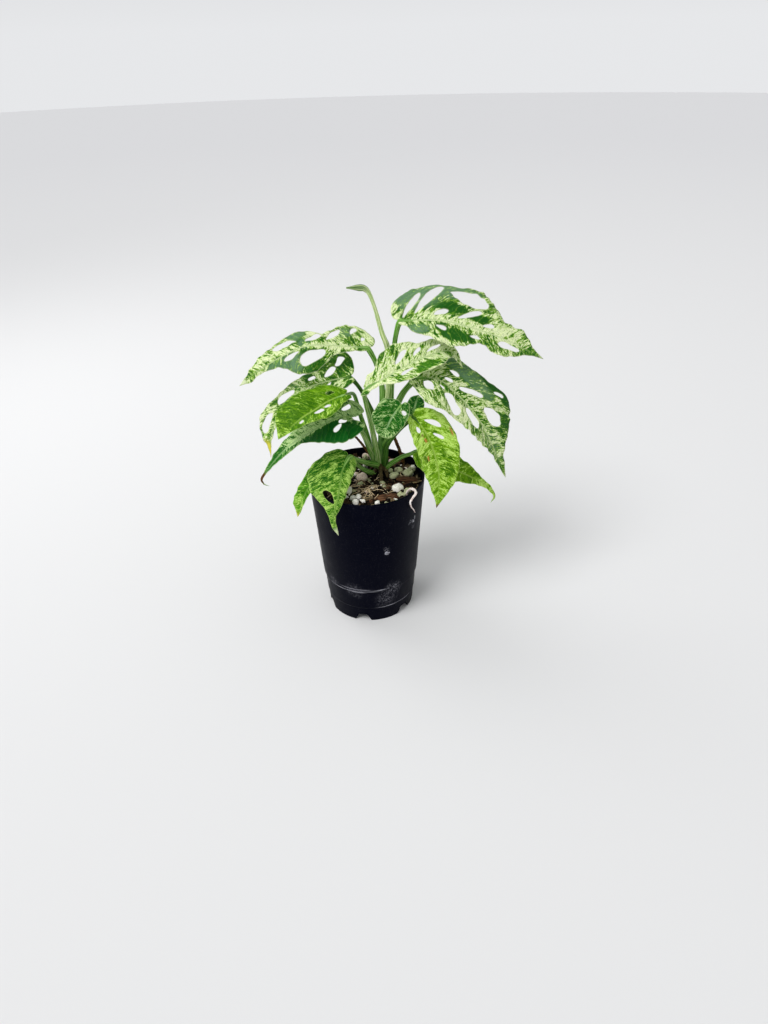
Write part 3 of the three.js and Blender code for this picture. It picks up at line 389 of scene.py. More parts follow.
        patches=[(22, -16, 26, 13, {CREAM: -0.5, DARK: 1.0}), (2, -16, 10, 8, {CREAM: -0.3}),
                 (34, 0, 34, 2.5, {CREAM: 0.7}), (36, 9, 16, 5, {CREAM: 0.6}),
                 (-6, 8, 8, 9, {CREAM: 0.6, PAINTED_SHEEN: 0.5}), (72, 0, 12, 6, {CREAM: 0.12, DARK: 0.3})],
        stains=[(91, 0, 6, 5, BROWN)],
    ),
    "front_left": dict(
        look="fresh",
        fine=2.2,
        ruffle=0.6,
        rib=[(-14, -18, 159), (-19, -28, 153), (-21, -40, 146), (-23, -51, 139), (-27, -60, 126),
             (-23, -64, 113)],
        up=[(-0.1, -0.6, 0.8), (-0.1, -0.9, 0.3)],
        fold=(-30, 5),
        left=[(-4, 2), (-2, 6), (4, 9), (11, 10), (20, 9), (31, 7), (42, 5), (50, 3.4), (57, 2.2),
              (64, 1.8)],
        right=[(-4, 3), (-4, 10), (0, 16), (9, 21), (15, 26), (22, 27), (30, 25), (38, 22), (44, 16),
               (48, 10), (52, 5), (57, 2.6), (64, 1.8)],
        holes=[(39, 7, 14, 6, 136)],
        stalk=[(12, 15, 130), (-1, 0, 144), (-11, -14, 156), (-13, -17, 159)],
        radii=(2.5, 2),
        paint=(0.37, 0.7, 0.03, 0.45),
        patches=[(14, 18, 16, 10, {CREAM: 0.3, DARK: 0.9}), (30, -7, 28, 4, {CREAM: 0.5}),
                 (8, 1, 10, 4, {DARK: 1.0, CREAM: 0.05}), (44, 12, 12, 8, {CREAM: 0.45})],
        stains=[(70, 0, 6, 5, PALE)],
    ),
    "front_far_left": dict(
        look="fresh",
        fine=1.4,
        rib=[(-14, -6, 146), (-30, -18, 148), (-45, -28, 141), (-53, -34, 129), (-58, -38, 115)],
        up=[(-0.2, -0.6, 0.8), (-0.3, -0.8, 0.5)],
        left=[(-3, 2), (-2, 7), (6, 11), (18, 12), (30, 9), (42, 5), (54, 3), (64, 2)],
        right=[(-3, 2), (-2, 7), (6, 11), (18, 12), (30, 11), (42, 8), (52, 8), (60, 7), (66, 3)],
        stalk=[(9, 12, 122), (-2, 3, 135), (-10, -3, 145), (-13, -5, 146)],
        radii=(2.1, 1.7),
        paint=(0.2, 0.55, 0.0, 0.5),
        patches=[(60, 4, 8, 8, {CREAM: 0.4, DARK: 0.0})],
        stains=[(73, 2, 6, 10, YELLOW)],
    ),
}

# Stalks, shoots and roots
STEM = [(12, 17, 105), (12, 17, 128), (14, 17, 156), (17, 17, 178)]
STEM_RADII = (4, 3.4)
STEM_NODES = (24, 33, 43, 54, 64)  # leaf scars, along the stem
SHEATH = 18  # how far each petiole clasps the stem below its joint
SHEATH_IN = 0.55  # share of its distance from the stem's middle that a petiole's foot keeps
SHEATH_FOOT = 0.35  # its thickness at the foot, as a share
SHEATH_SWELL = 0.3
KNEE_BACK = 15  # from the petiole's end, under the midrib, to its knee
KNEE_SWELL = 0.14
RIB_TAPER = 0.62
STALK_GROOVE = 0.2
SKIN_GIRTH = 6.0  # radius at which a stalk's stripes are drawn
NEW_LEAF = [(17.5, 17, 177), (19.5, 17, 193), (21, 17, 210), (20.5, 17.5, 237), (16, 16, 253),
            (12, 15, 269), (8, 14, 282), (4, 14, 288), (-1, 14, 289), (-10, 14, 289)]
NEW_LEAF_RADII = (2.3, 2.7, 2.8, 2.6, 2.4, 2.1, 1.7, 1.5, 1.6, 0.6)
DRY_ROOTS = {
    "dry_root_left": [(4, 15, 142), (-4, 9, 158), (-10, 4, 169)],
    "dry_root_right": [(20, 21, 168), (25, 24, 154), (31, 28, 134), (32, 29, 125), (32, 29, 112)],
}
DRY_ROOT_RADII = {"dry_root_left": (1.3, 0.9), "dry_root_right": (1.4, 1.6)}
PALE_ROOT = [(32, -22, 120), (34, -25.5, 128.5), (36.6, -29.2, 134), (39.6, -32.4, 135),
             (40.6, -34.2, 132.4), (38, -36.6, 130.2), (35.9, -38.5, 127), (36.8, -37, 121.5),
             (39, -33.4, 116), (40.2, -31.2, 112)]
PALE_ROOT_RADII = (1.2, 1.2, 1.1, 0.6, 0.25)
CROWN_ROOTS = [
    [(12, 12, 134), (12, 5, 132), (12.4, -3, 129.5), (13, -11, 124)],
    [(14, 13, 131), (17, 8, 129), (19, 2, 124)],
    [(9, 14, 130), (6, 9, 128), (4, 4, 124)],
    [(16, 19, 130), (22, 20, 128), (26, 22, 123)],
    [(10, 21, 130), (5, 25, 128), (2, 29, 123)],
]
CROWN_ROOT_RADII = (1.9, 1.6, 0.9)

# Camera and light
CAMERA_AT = (14, -552, 456)
CAMERA_PITCH = math.radians(33.35)
CAMERA_ROLL = math.radians(-1.53)
CAMERA_LENS = 26.02
SENSOR = 36
SKY = 0.54
HORIZON = 0.82
SUN = 1.8
SUN_FROM = (-0.55, -0.5, 1.0)
FLOOR_NEAR = (0.885, 0.885, 0.885)
FLOOR_FAR = (0.86, 0.86, 0.865)
# The rest of the stage is in metres.
FLOOR_RADIUS = 6
SKY_COLOUR = (0.97, 0.98, 1.0, 1)
SUN_SPREAD = math.radians(30)
SOFT_BOX_AT = (-0.7, 0.5, 0.9)
SOFT_BOX_AIM = (0, 0, 0.17)
SOFT_BOX_SIZE = 0.7
SOFT_BOX_POWER = 3


def unit(v):
    return v / np.linalg.norm(v, axis=-1, keepdims=True)


def smooth(x):
    x = np.clip(x, 0, 1)
    return x * x * (3 - 2 * x)


def circle(count):
    """The angles of count equal steps round a circle."""
    return np.linspace(0, 2 * math.pi, count, endpoint=False)


def wall_radius(z):
    """Outer radius of the pot's wall above its step."""
    return POT_BASE_R + (POT_RIM_R - POT_BASE_R) * z / POT_HEIGHT


class Line:
    """A smooth line through points, measured along its length."""

    def __init__(self, points, cuts=40):
        p = np.array(points, float)
        ring = np.vstack([2 * p[0] - p[1], p, 2 * p[-1] - p[-2]])
        t = np.linspace(0, 1, cuts, endpoint=False)[:, None]
        rows = []
        for a, b, c, d in zip(ring, ring[1:], ring[2:], ring[3:]):
            bend = (2 * a - 5 * b + 4 * c - d) * t**2 + (3 * b - a - 3 * c + d) * t**3
            rows.append(0.5 * (2 * b + (c - a) * t + bend))
        self.line = np.vstack([*rows, p[-1:]])
        steps = np.linalg.norm(np.diff(self.line, axis=0), axis=1)
        self.reach = np.concatenate([[0], np.cumsum(steps)])
        self.length = self.reach[-1]

    def at(self, s):
        """The points at lengths s, with straight ends beyond the line."""
        s = np.asarray(s, float)
        held = np.clip(s, 0, self.length)
        columns = [np.interp(held, self.reach, column) for column in self.line.T]
        over = (s - held)[..., None]
        start = unit(self.line[1] - self.line[0])
        end = unit(self.line[-1] - self.line[-2])
        return np.stack(columns, -1) + np.where(over < 0, over * start, over * end)


# Meshes


def added(name, data):
    """A new object in the scene."""
    made = bpy.data.objects.new(name, data)
    bpy.context.scene.collection.objects.link(made)
    return made


def plain_mesh(name, points, faces):
    """A mesh object from points in millimetres."""
    mesh = bpy.data.meshes.new(name)
    world = np.asarray(points, float) * MM + POT_AXIS
    mesh.from_pydata(world.tolist(), [], faces)
    mesh.update()
    return added(name, mesh)


def make_piece(name, points, faces, materials, node=None, attributes=None, indices=None):
    """A smooth mesh object that rides on the part."""
    piece = plain_mesh(name, points, [tuple(int(k) for k in face) for face in faces])
    mesh = piece.data
    for material in materials:
        mesh.materials.append(material)
    if indices is not None:
        mesh.polygons.foreach_set("material_index", np.asarray(indices, np.int32))
    mesh.polygons.foreach_set("use_smooth", np.ones(len(mesh.polygons), bool))
    for key, values in (attributes or {}).items():
        values = np.asarray(values, np.float32)
        colour = values.shape[1] == 4
        kind = "FLOAT_COLOR" if colour else "FLOAT_VECTOR"
        layer = mesh.attributes.new(key, kind, "POINT")
        layer.data.foreach_set("color" if colour else "vector", values.ravel())
    mesh.update()
    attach(piece, "root")
    if node:
        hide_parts(node)


def tube(path, radii, sides=16, step=1.2, shape=None, facing=(0, 0, 1)):
    """Points, faces and (along, turn) of a closed round tube whose ends are domed."""
    count = max(5, round(path.length / step))
    s = np.linspace(0, path.length, count + 1)
    centre = path.at(s)
    ahead = unit(path.at(s + 0.5) - path.at(s - 0.5))
    across = np.empty_like(ahead)
    lead = np.array(facing, float)
    for i, direction in enumerate(ahead):
        lead = unit(lead - direction * lead.dot(direction))
        across[i] = lead
    beside = np.cross(ahead, across)
    turn = circle(sides)
    size = np.interp(s / path.length, np.linspace(0, 1, len(radii)), radii)[:, None]
    if shape:
        size = size * shape(s[:, None], turn[None])
    size = np.broadcast_to(size, (count + 1, sides))
    rings = centre[:, None] + size[..., None] * (
        np.cos(turn)[None, :, None] * across[:, None] + np.sin(turn)[None, :, None] * beside[:, None]
    )
    domes = []
    for end, sign in ((0, -1), (-1, 1)):
        reach = size[end].mean()
        inner = centre[end] + (rings[end] - centre[end]) * 0.72 + sign * ahead[end] * reach * 0.5
        tip = centre[end] + sign * ahead[end] * reach * 0.72
        domes.append((inner, tip))
    points = [rings.reshape(-1, 3), domes[0][0], domes[1][0], domes[0][1][None], domes[1][1][None]]
    faces = []

    def band(a, b):
        for k in range(sides):
            m = (k + 1) % sides
            faces.append((a + k, a + m, b + m, b + k))

    body = (count + 1) * sides
    for i in range(count):
        band(i * sides, (i + 1) * sides)
    band(body, 0)
    band(count * sides, body + sides)
    for k in range(sides):
        m = (k + 1) % sides
        faces.append((body + 2 * sides, body + m, body + k))
        faces.append((body + 2 * sides + 1, body + sides + k, body + sides + m))
    along = np.concatenate([np.repeat(s, sides), np.repeat(s[[0, -1]], sides), s[[0, -1]]])
    around = np.concatenate([np.tile(turn, count + 3), [0, 0]])
    return np.vstack(points), faces, along, around


def tube_piece(name, path, radii, material, slot, node=None, **settings):
    points, faces, along, around = tube(path, radii, **settings)
    skin = np.stack([np.cos(around) * SKIN_GIRTH, np.sin(around) * SKIN_GIRTH, along], -1)
    ends = np.stack([along, path.length - along, np.zeros_like(along)], -1)
    make_piece(name, points, faces, [material], node, {"skin": skin, "ends": ends})


def ball(cuts):
    """Points and triangles of a sphere of radius 1, cut from an octahedron."""
    points = [(1, 0, 0), (-1, 0, 0), (0, 1, 0), (0, -1, 0), (0, 0, 1), (0, 0, -1)]
    faces = [(0, 2, 4), (2, 1, 4), (1, 3, 4), (3, 0, 4), (2, 0, 5), (1, 2, 5), (3, 1, 5), (0, 3, 5)]
    for _ in range(cuts):
        middles = {}

        def middle(a, b):
            key = (min(a, b), max(a, b))
            if key not in middles:
                middles[key] = len(points)
                points.append(tuple(unit(np.add(points[a], points[b]))))
            return middles[key]

        split = []
        for a, b, c in faces:
            ab, bc, ca = middle(a, b), middle(b, c), middle(c, a)
            split += [(a, ab, ca), (ab, b, bc), (ca, bc, c), (ab, bc, ca)]
        faces = split
    return np.array(points, float), np.array(faces)


# Shaders


class Shader:
    """Short names for the nodes of one procedural material."""

    def __init__(self, name):
        self.material = bpy.data.materials.new(name)
        self.material.use_nodes = True
        self.nodes = self.material.node_tree.nodes
        self.links = self.material.node_tree.links
        self.surface = self.nodes["Principled BSDF"]

    def node(self, kind, inputs=(), **settings):
        made = self.nodes.new("ShaderNode" + kind)
        for key, value in settings.items():
            setattr(made, key, value)
        for key, value in dict(inputs).items():
            self.set(made.inputs[key], value)
        return made

    def set(self, socket, value):
        if isinstance(value, bpy.types.NodeSocket):
            self.links.new(value, socket)
        elif socket.type == "RGBA" and len(value) == 3:
            socket.default_value = (*linear(value), 1)
        else:
            socket.default_value = value

    def math(self, operation, *values, clamp=False):
        inputs = dict(enumerate(values))
        return self.node("Math", inputs, operation=operation, use_clamp=clamp).outputs[0]

    def layer(self, name, output="Vector"):
        return self.node("Attribute", attribute_name=name).outputs[output]

    def split(self, vector):
        return self.node("SeparateXYZ", {0: vector}).outputs

    def place(self):
        return self.node("TexCoord").outputs["Object"]

    def counted(self, where, size):
        """The place in grains, with one every size of each axis."""
        scale = tuple(1 / s for s in size)
        return self.node("VectorMath", {0: where, 1: scale}, operation="MULTIPLY").outputs[0]

    def noise(self, where, size, detail=2, rough=0.5):
        """Smooth noise from 0 to 1, about 0.5."""
        inputs = {"Vector": self.counted(where, size), "Scale": 1.0, "Detail": detail,
                  "Roughness": rough}
        return self.node("TexNoise", inputs).outputs[0]

    def bend(self, where, size, reach):
        """The place moved by up to reach, and by about half of it on the whole, so lines wander."""
        inputs = {"Vector": self.counted(where, (size,) * 3), "Scale": 1.0, "Detail": 2}
        drift = self.node("TexNoise", inputs).outputs["Color"]
        inputs = {0: drift, 1: reach, 2: where}
        return self.node("VectorMath", inputs, operation="MULTIPLY_ADD").outputs[0]

    def cells(self, where, size):
        """Distance from the middle of the nearest cell."""
        inputs = {"Vector": self.counted(where, size), "Scale": 1.0}
        return self.node("TexVoronoi", inputs, feature="SMOOTH_F1").outputs["Distance"]

    def shade(self, colour, amount):
        return self.node("VectorMath", {0: colour, "Scale": amount}, operation="SCALE").outputs[0]

    def ramp(self, value, low, high, start=0.0, end=1.0):
        inputs = {0: value, 1: low, 2: high, 3: start, 4: end}
        return self.node("MapRange", inputs, interpolation_type="SMOOTHSTEP").outputs[0]

    def mix(self, share, a, b):
        return self.node("MixRGB", {0: share, 1: a, 2: b}).outputs[0]

    def bump(self, height, strength, distance):
        inputs = {"Height": height, "Strength": strength, "Distance": distance}
        return self.node("Bump", inputs).outputs[0]

    def finish(self, colour, roughness, normal=None, **settings):
        self.set(self.surface.inputs["Base Color"], colour)
        self.set(self.surface.inputs["Roughness"], roughness)
        if normal:
            self.set(self.surface.inputs["Normal"], normal)
        for key, value in settings.items():
            self.set(self.surface.inputs[key.replace("_", " ")], value)
        return self.material


def linear(colour):
    return tuple(c / 12.92 if c <= 0.04045 else ((c + 0.055) / 1.055) ** 2.4 for c in colour)


PALETTES = {  # cream, light green, mid green, dark green, grey green for the painted sheen, and midrib
    "variegated": ((0.91, 0.95, 0.74), (0.62, 0.79, 0.28), (0.25, 0.49, 0.06), (0.08, 0.34, 0.0),
                   (0.42, 0.56, 0.42), (0.76, 0.84, 0.60)),
    "lime": ((0.78, 0.92, 0.46), (0.62, 0.80, 0.22), (0.43, 0.63, 0.07), (0.22, 0.43, 0.01),
             (0.42, 0.56, 0.42), (0.62, 0.76, 0.32)),
    "fresh": ((0.74, 0.88, 0.45), (0.56, 0.75, 0.25), (0.31, 0.58, 0.08), (0.08, 0.36, 0.03),
              (0.34, 0.52, 0.34), (0.48, 0.65, 0.28)),
    "dark": ((0.79, 0.90, 0.62), (0.44, 0.65, 0.27), (0.12, 0.43, 0.06), (0.0, 0.33, 0.03),
             (0.30, 0.48, 0.38), (0.62, 0.76, 0.52)),
}


def leaf_material(name, palette, under):
    cream, light, green, dark, painted_sheen_grey, rib = palette
    g = Shader(name)
    vein = g.layer("vein")
    edge = g.split(g.layer("edge"))
    paint = g.split(g.layer("paint", "Color"))
    bent = g.bend(vein, 9, (8, 14, 0))
    streak = g.noise(bent, (1.7, 7.5, 1), 4, 0.62)
    dab = g.noise(bent, (0.9, 2.0, 1), 3, 0.6)
    broad = g.noise(vein, (7, 10, 1), 2, 0.5)
    marble = g.math("MULTIPLY_ADD", streak, 0.38, g.math("MULTIPLY", dab, 0.34))
    marble = g.math("MULTIPLY_ADD", broad, 0.28, marble)
    marble = g.math("MULTIPLY_ADD", marble, 4.6, -1.8)
    marble = g.math("ADD", marble, paint[0])
    tone = g.math("MULTIPLY_ADD", g.noise(bent, (2.5, 10, 1.3), 4, 0.6), 3, -1)
    deep = g.ramp(g.math("ADD", tone, paint[1]), 0.6, 1.4)
    colour = g.mix(deep, green, dark)
    # Painted sheen: grey green mixed in by the third paint channel, standing in for light reflected off
    # the gloss.
    sheen = g.math("MULTIPLY", paint[2], g.ramp(tone, 0.0, 0.9, 0.7, 1.0))
    colour = g.mix(sheen, colour, painted_sheen_grey)
    colour = g.mix(g.ramp(marble, 0.80, 0.94, 0.0, 0.78), colour, light)
    colour = g.mix(g.ramp(marble, 0.97, 1.05), colour, cream)
    speck = g.noise(bent, (0.6, 1.5, 0.7), 3, 0.6)
    flecks = g.math("MULTIPLY", g.ramp(speck, 0.55, 0.63, 0.0, 0.75), g.ramp(marble, 0.9, 1.1))
    colour = g.mix(flecks, colour, green)
    glints = g.ramp(speck, 0.36, 0.44, 0.5, 0.0)
    glints = g.math("MULTIPLY", glints, g.ramp(marble, 0.1, 0.8))
    colour = g.mix(glints, colour, light)
    wave = g.math("MULTIPLY", g.split(bent)[0], math.pi / VEIN_SPACING)
    near = g.math("ABSOLUTE", g.math("SINE", wave))
    lateral = g.math("MULTIPLY", g.ramp(near, 0.02, 0.2, 0.22, 0.0), g.ramp(edge[0], 0.5, 4.0))
    colour = g.mix(lateral, colour, light)
    middle = g.ramp(edge[1], 0.35, 1.1, 1.0, 0.0)
    middle = g.math("MULTIPLY", middle, g.ramp(edge[2], 0.5, 0.97, 0.75, 0.0))
    colour = g.mix(middle, colour, rib)
    rim = g.math("MULTIPLY", g.ramp(edge[0], 0.2, 0.8, 1.0, 0.0), g.layer("paint", "Alpha"))
    colour = g.mix(rim, colour, cream)
    colour = g.mix(g.layer("stain", "Alpha"), colour, g.layer("stain", "Color"))
    if under:
        colour = g.mix(BACK_PALER, colour, BACK_GREEN)
    net = g.noise(vein, (0.5, 0.8, 1), 3, 0.55)
    colour = g.shade(colour, g.ramp(net, 0.3, 0.7, 0.78, 1.08))
    blister = g.cells(bent, (1.7, 2.6, 1))
    height = g.math("MULTIPLY_ADD", blister, -1.0, g.math("MULTIPLY", net, 0.5))
    normal = g.bump(height, 0.5, 0.00035)
    rough = g.ramp(net, 0.3, 0.7, 0.5, 0.62) if under else g.ramp(net, 0.3, 0.7, 0.38, 0.52)
    return g.finish(colour, rough, normal, Subsurface_Weight=0.03, Subsurface_Scale=0.001,
                    Subsurface_Radius=GREEN_DEPTH, Specular_IOR_Level=0.06)


def stalk_material(name, base, streak, deep, low=None, tip=None):
    """Green skin with fine stripes; low is the colour near the stem and tip that at the far end."""
    g = Shader(name)
    skin = g.layer("skin")
    ends = g.split(g.layer("ends"))
    stripe = g.noise(skin, (1.3, 1.3, 22), 4, 0.62)
    shade = g.noise(skin, (4, 4, 12), 3, 0.55)
    colour = g.mix(g.ramp(shade, 0.36, 0.62), base, deep)
    colour = g.mix(g.ramp(stripe, 0.44, 0.6), colour, streak)
    if low:
        colour = g.mix(g.ramp(ends[0], 4, 22, 0.8, 0.0), colour, low)
    if tip:
        near = g.ramp(ends[1], 12, 19, 1.0, 0.0)
        share = g.math("MULTIPLY", near, g.ramp(stripe, 0.4, 0.62, 1.0, 0.3))
        colour = g.mix(share, colour, tip)
    pores = g.noise(skin, (0.4, 0.4, 0.9), 2, 0.5)
    colour = g.shade(colour, g.ramp(pores, 0.3, 0.7, 0.85, 1.1))
    normal = g.bump(g.math("MULTIPLY_ADD", stripe, 0.8, pores), 0.3, 0.0002)
    return g.finish(colour, g.ramp(pores, 0.3, 0.7, 0.38, 0.52), normal, Subsurface_Weight=0.05,
                    Subsurface_Scale=0.0012, Subsurface_Radius=GREEN_DEPTH, Specular_IOR_Level=0.07)


def root_material(name, base, deep, roughness=0.75):
    g = Shader(name)
    where = g.place()
    bark = g.noise(where, (0.0012, 0.0012, 0.004), 4, 0.65)
    colour = g.mix(g.ramp(bark, 0.35, 0.65), base, deep)
    return g.finish(colour, g.ramp(bark, 0.3, 0.7, roughness - 0.1, roughness + 0.1),
                    g.bump(bark, 0.6, 0.0004), Specular_IOR_Level=0.25)


def mineral_material(name, base, deep, grain, depth):
    """A porous grain: base in the open, deep in the pores, one pore every grain metres."""
    g = Shader(name)
    where = g.place()
    pores = g.noise(where, (grain, grain, grain), 4, 0.7)
    patch = g.noise(where, (0.006, 0.006, 0.006), 2, 0.5)
    colour = g.mix(g.ramp(pores, 0.30, 0.50, 1.0, 0.0), base, deep)
    colour = g.mix(g.ramp(patch, 0.4, 0.7, 0.0, 0.3), colour, deep)
    return g.finish(colour, 0.85, g.bump(pores, 0.7, depth), Specular_IOR_Level=0.08)


def bark_material(name, dark, middle, pale):
    """Fibrous chips whose colour changes from chip to chip."""
    g = Shader(name)
    tint = g.split(g.layer("tint"))
    where = g.layer("grain")
    fibre = g.noise(where, (8, 1.0, 1.2), 4, 0.65)
    colour = g.mix(g.ramp(tint[0], 0.15, 0.6), dark, middle)
    colour = g.mix(g.ramp(tint[0], 0.7, 0.95), colour, pale)
    colour = g.mix(g.ramp(fibre, 0.40, 0.56, 0.85, 0.0), colour, BARK_PORE)
    return g.finish(colour, g.ramp(fibre, 0.3, 0.7, 0.7, 0.9), g.bump(fibre, 0.8, 0.0006),
                    Specular_IOR_Level=0.08)


def pot_material():
    """Dark moulded plastic, rubbed at its step and foot, scraped in spots and finely scratched."""
    g = Shader("pot_plastic")
    where = g.place()
    axis = tuple(-v for v in POT_AXIS)
    local = g.node("VectorMath", {0: where, 1: axis}, operation="ADD").outputs[0]
    x, y, z = (g.math("MULTIPLY", part, 1 / MM) for part in g.split(local))
    angle = g.math("ARCTAN2", y, x)
    wall = g.node("CombineXYZ", {0: g.math("MULTIPLY", angle, POT_MEAN_R), 1: z}).outputs[0]
    here = g.node("CombineXYZ", {0: x, 1: y, 2: z}).outputs[0]
    lines = g.noise(g.bend(wall, 12, (0, 1.2, 0)), (11, 0.4, 1), 4, 0.7)
    loose = g.bend(wall, 4, (5, 5, 0))
    level, steep = (g.noise(loose, size, 3, 0.6) for size in ((3.4, 0.8, 1), (0.8, 3, 1)))
    scrape = g.math("MAXIMUM", level, steep)
    upright = g.noise(g.bend(wall, 14, (9, 0, 0)), (0.5, 9, 1), 3, 0.6)
    dust = g.noise(wall, (14, 22, 1), 4, 0.65)
    drifted = g.bend(here, 6, SCUFF_DRIFT)
    marks = g.ramp(upright, 0.63, 0.76, 0.0, 0.06)
    marks = g.math("MAXIMUM", marks, g.ramp(lines, 0.62, 0.76, 0.0, 0.1))
    grit = g.noise(wall, (1.4, 0.9, 1), 3, 0.7)
    marks = g.math("MAXIMUM", marks, g.ramp(grit, 0.56, 0.72, 0.0, 0.03))
    for first, last, height, half, share in RUBBED:
        start, end = math.radians(first), math.radians(last)
        off = g.math("ABSOLUTE", g.math("SUBTRACT", z, height))
        band = g.math("MULTIPLY", g.ramp(off, 0.3 * half, 1.6 * half, 1.0, 0.0), share)
        band = g.math("MULTIPLY", band, g.ramp(angle, start, start + WEAR_FADE))
        band = g.math("MULTIPLY", band, g.ramp(angle, end - WEAR_FADE, end, 1.0, 0.0))
        marks = g.math("MAXIMUM", marks, g.math("MULTIPLY", band, g.ramp(lines, 0.38, 0.6)))
    for turn, height, radius, share in SCUFFS:
        r = wall_radius(height)
        spot = (r * math.cos(math.radians(turn)), r * math.sin(math.radians(turn)), height)
        spot = tuple(a + b / 2 for a, b in zip(spot, SCUFF_DRIFT))
        off = g.node("VectorMath", {0: drifted, 1: spot}, operation="DISTANCE").outputs["Value"]
        spread = g.ramp(off, 0.4 * radius, 1.6 * radius, share, 0.0)
        ease = SCRAPE_EASE * share
        torn = g.ramp(scrape, SCRAPE_FROM - ease, SCRAPE_FULL - ease)
        mark = g.math("MULTIPLY", spread, torn, clamp=True)
        marks = g.math("MAXIMUM", marks, mark)
    film = g.ramp(dust, 0.4, 0.75, 0.0, 0.3)
    film = g.math("MULTIPLY", film, g.ramp(scrape, 0.45, 0.7, 0.4, 1.0))
    colour = g.mix(film, POT_BLACK, POT_FILM)
    colour = g.mix(marks, colour, POT_SCRAPED)
    rough = g.math("MULTIPLY_ADD", marks, 0.3, g.ramp(dust, 0.3, 0.7, 0.36, 0.5))
    height = g.math("MULTIPLY_ADD", lines, 0.5, g.noise(where, (0.0006, 0.0006, 0.0006), 3, 0.6))
    return g.finish(colour, rough, g.bump(height, 0.12, 0.0002), Specular_IOR_Level=0.045,
                    Specular_Tint=(*POT_SHEEN, 1))


# Leaf blades


class Blade:
    """The curved sheet of one blade: along runs down the midrib, across runs out from it."""

    def __init__(self, leaf):
        self.rib = Line(leaf["rib"])
        self.length = self.rib.length
        self.up = [unit(np.array(direction, float)) for direction in leaf["up"]]
        self.fold = np.radians(leaf.get("fold", FOLD))
        self.wide = np.array([max(p[1] for p in leaf[side]) for side in ("left", "right")], float)

    def frame(self, along):
        ahead = unit(self.rib.at(along + 3) - self.rib.at(along - 3))
        share = np.clip(along / self.length, 0, 1)[..., None]
        up = self.up[0] + (self.up[1] - self.up[0]) * share
        up = unit(up - ahead * (up * ahead).sum(-1, keepdims=True))
        return up, np.cross(ahead, up)

    def point(self, along, across):
        up, side = self.frame(along)
        half = (across >= 0).astype(int)
        out = np.abs(across)
        wide = self.wide[half]
        swell = BULGE * out * np.maximum(0, wide - out)
        phase = 2 * math.pi * along / WAVE_LENGTH + WAVE_SHIFT * half + wide
        wave = WAVE_HEIGHT * np.minimum(1, out / wide) ** 2 * np.sin(phase)
        flat = across * np.cos(self.fold[half])
        rise = out * np.sin(self.fold[half]) + swell + wave
        return self.rib.at(along) + side * flat[..., None] + up * rise[..., None]

    def normal(self, along, across):
        a = self.point(along + 0.5, across) - self.point(along - 0.5, across)
        b = self.point(along, across + 0.5) - self.point(along, across - 0.5)
        return unit(np.cross(b, a))


def outline_loop(leaf, length):
    sides = []
    for points in (leaf["right"], [(a, -b) for a, b in leaf["left"]]):
        line = Line([(0, 0), *points, (length, 0)])
        s = np.linspace(0, line.length, round(line.length / EDGE_STEP))
        fade = smooth(s / 8) * smooth((line.length - s) / 25)
        wobble = EDGE_WOBBLE * fade * (np.sin(s / 1.9 + length) + 0.6 * np.sin(s / 1.13 + points[2][1]))
        edge = line.at(s)
        edge[:, 1] += wobble * np.sign(points[2][1])
        sides.append(edge)
    return np.vstack([sides[0], sides[1][-2:0:-1]])


def hole_loop(along, across, long, wide, turn):
    angle = math.radians(-turn if across < 0 else turn)
    count = max(16, round(math.pi * (long + wide) * 0.5 / EDGE_STEP))
    t = circle(count)
    u = long / 2 * np.cos(t)
    v = wide / 2 * np.sin(t) * (1 + 0.3 * np.cos(t)) + HOLE_WOBBLE * wide * np.sin(3 * t + turn)
    c, s = math.cos(angle), math.sin(angle)
    return np.stack([along + u * c - v * s, across + u * s + v * c], -1)


def inside(points, loops):
    """Whether each flat point lies in an odd number of the loops."""
    odd = np.zeros(len(points), bool)
    x, y = points[:, 0, None], points[:, 1, None]
    for loop in loops:
        (x0, y0), (x1, y1) = loop.T, np.roll(loop, -1, 0).T
        spans = (y0 > y) != (y1 > y)
        cut = x0 + (x1 - x0) * (y - y0) / np.where(y1 == y0, 1, y1 - y0)
        odd ^= (spans & (x < cut)).sum(1) % 2 == 1
    return odd


def edge_distance(points, loops):
    """How far each flat point is from the nearest edge of the loops."""
    best = np.full(len(points), np.inf)
    for loop in loops:
        a, b = loop, np.roll(loop, -1, 0)
        d = b - a
        share = ((points[:, None] - a) * d).sum(-1) / (d * d).sum(-1)
        foot = a + np.clip(share, 0, 1)[..., None] * d
        best = np.minimum(best, np.linalg.norm(points[:, None] - foot, axis=-1).min(1))
    return best


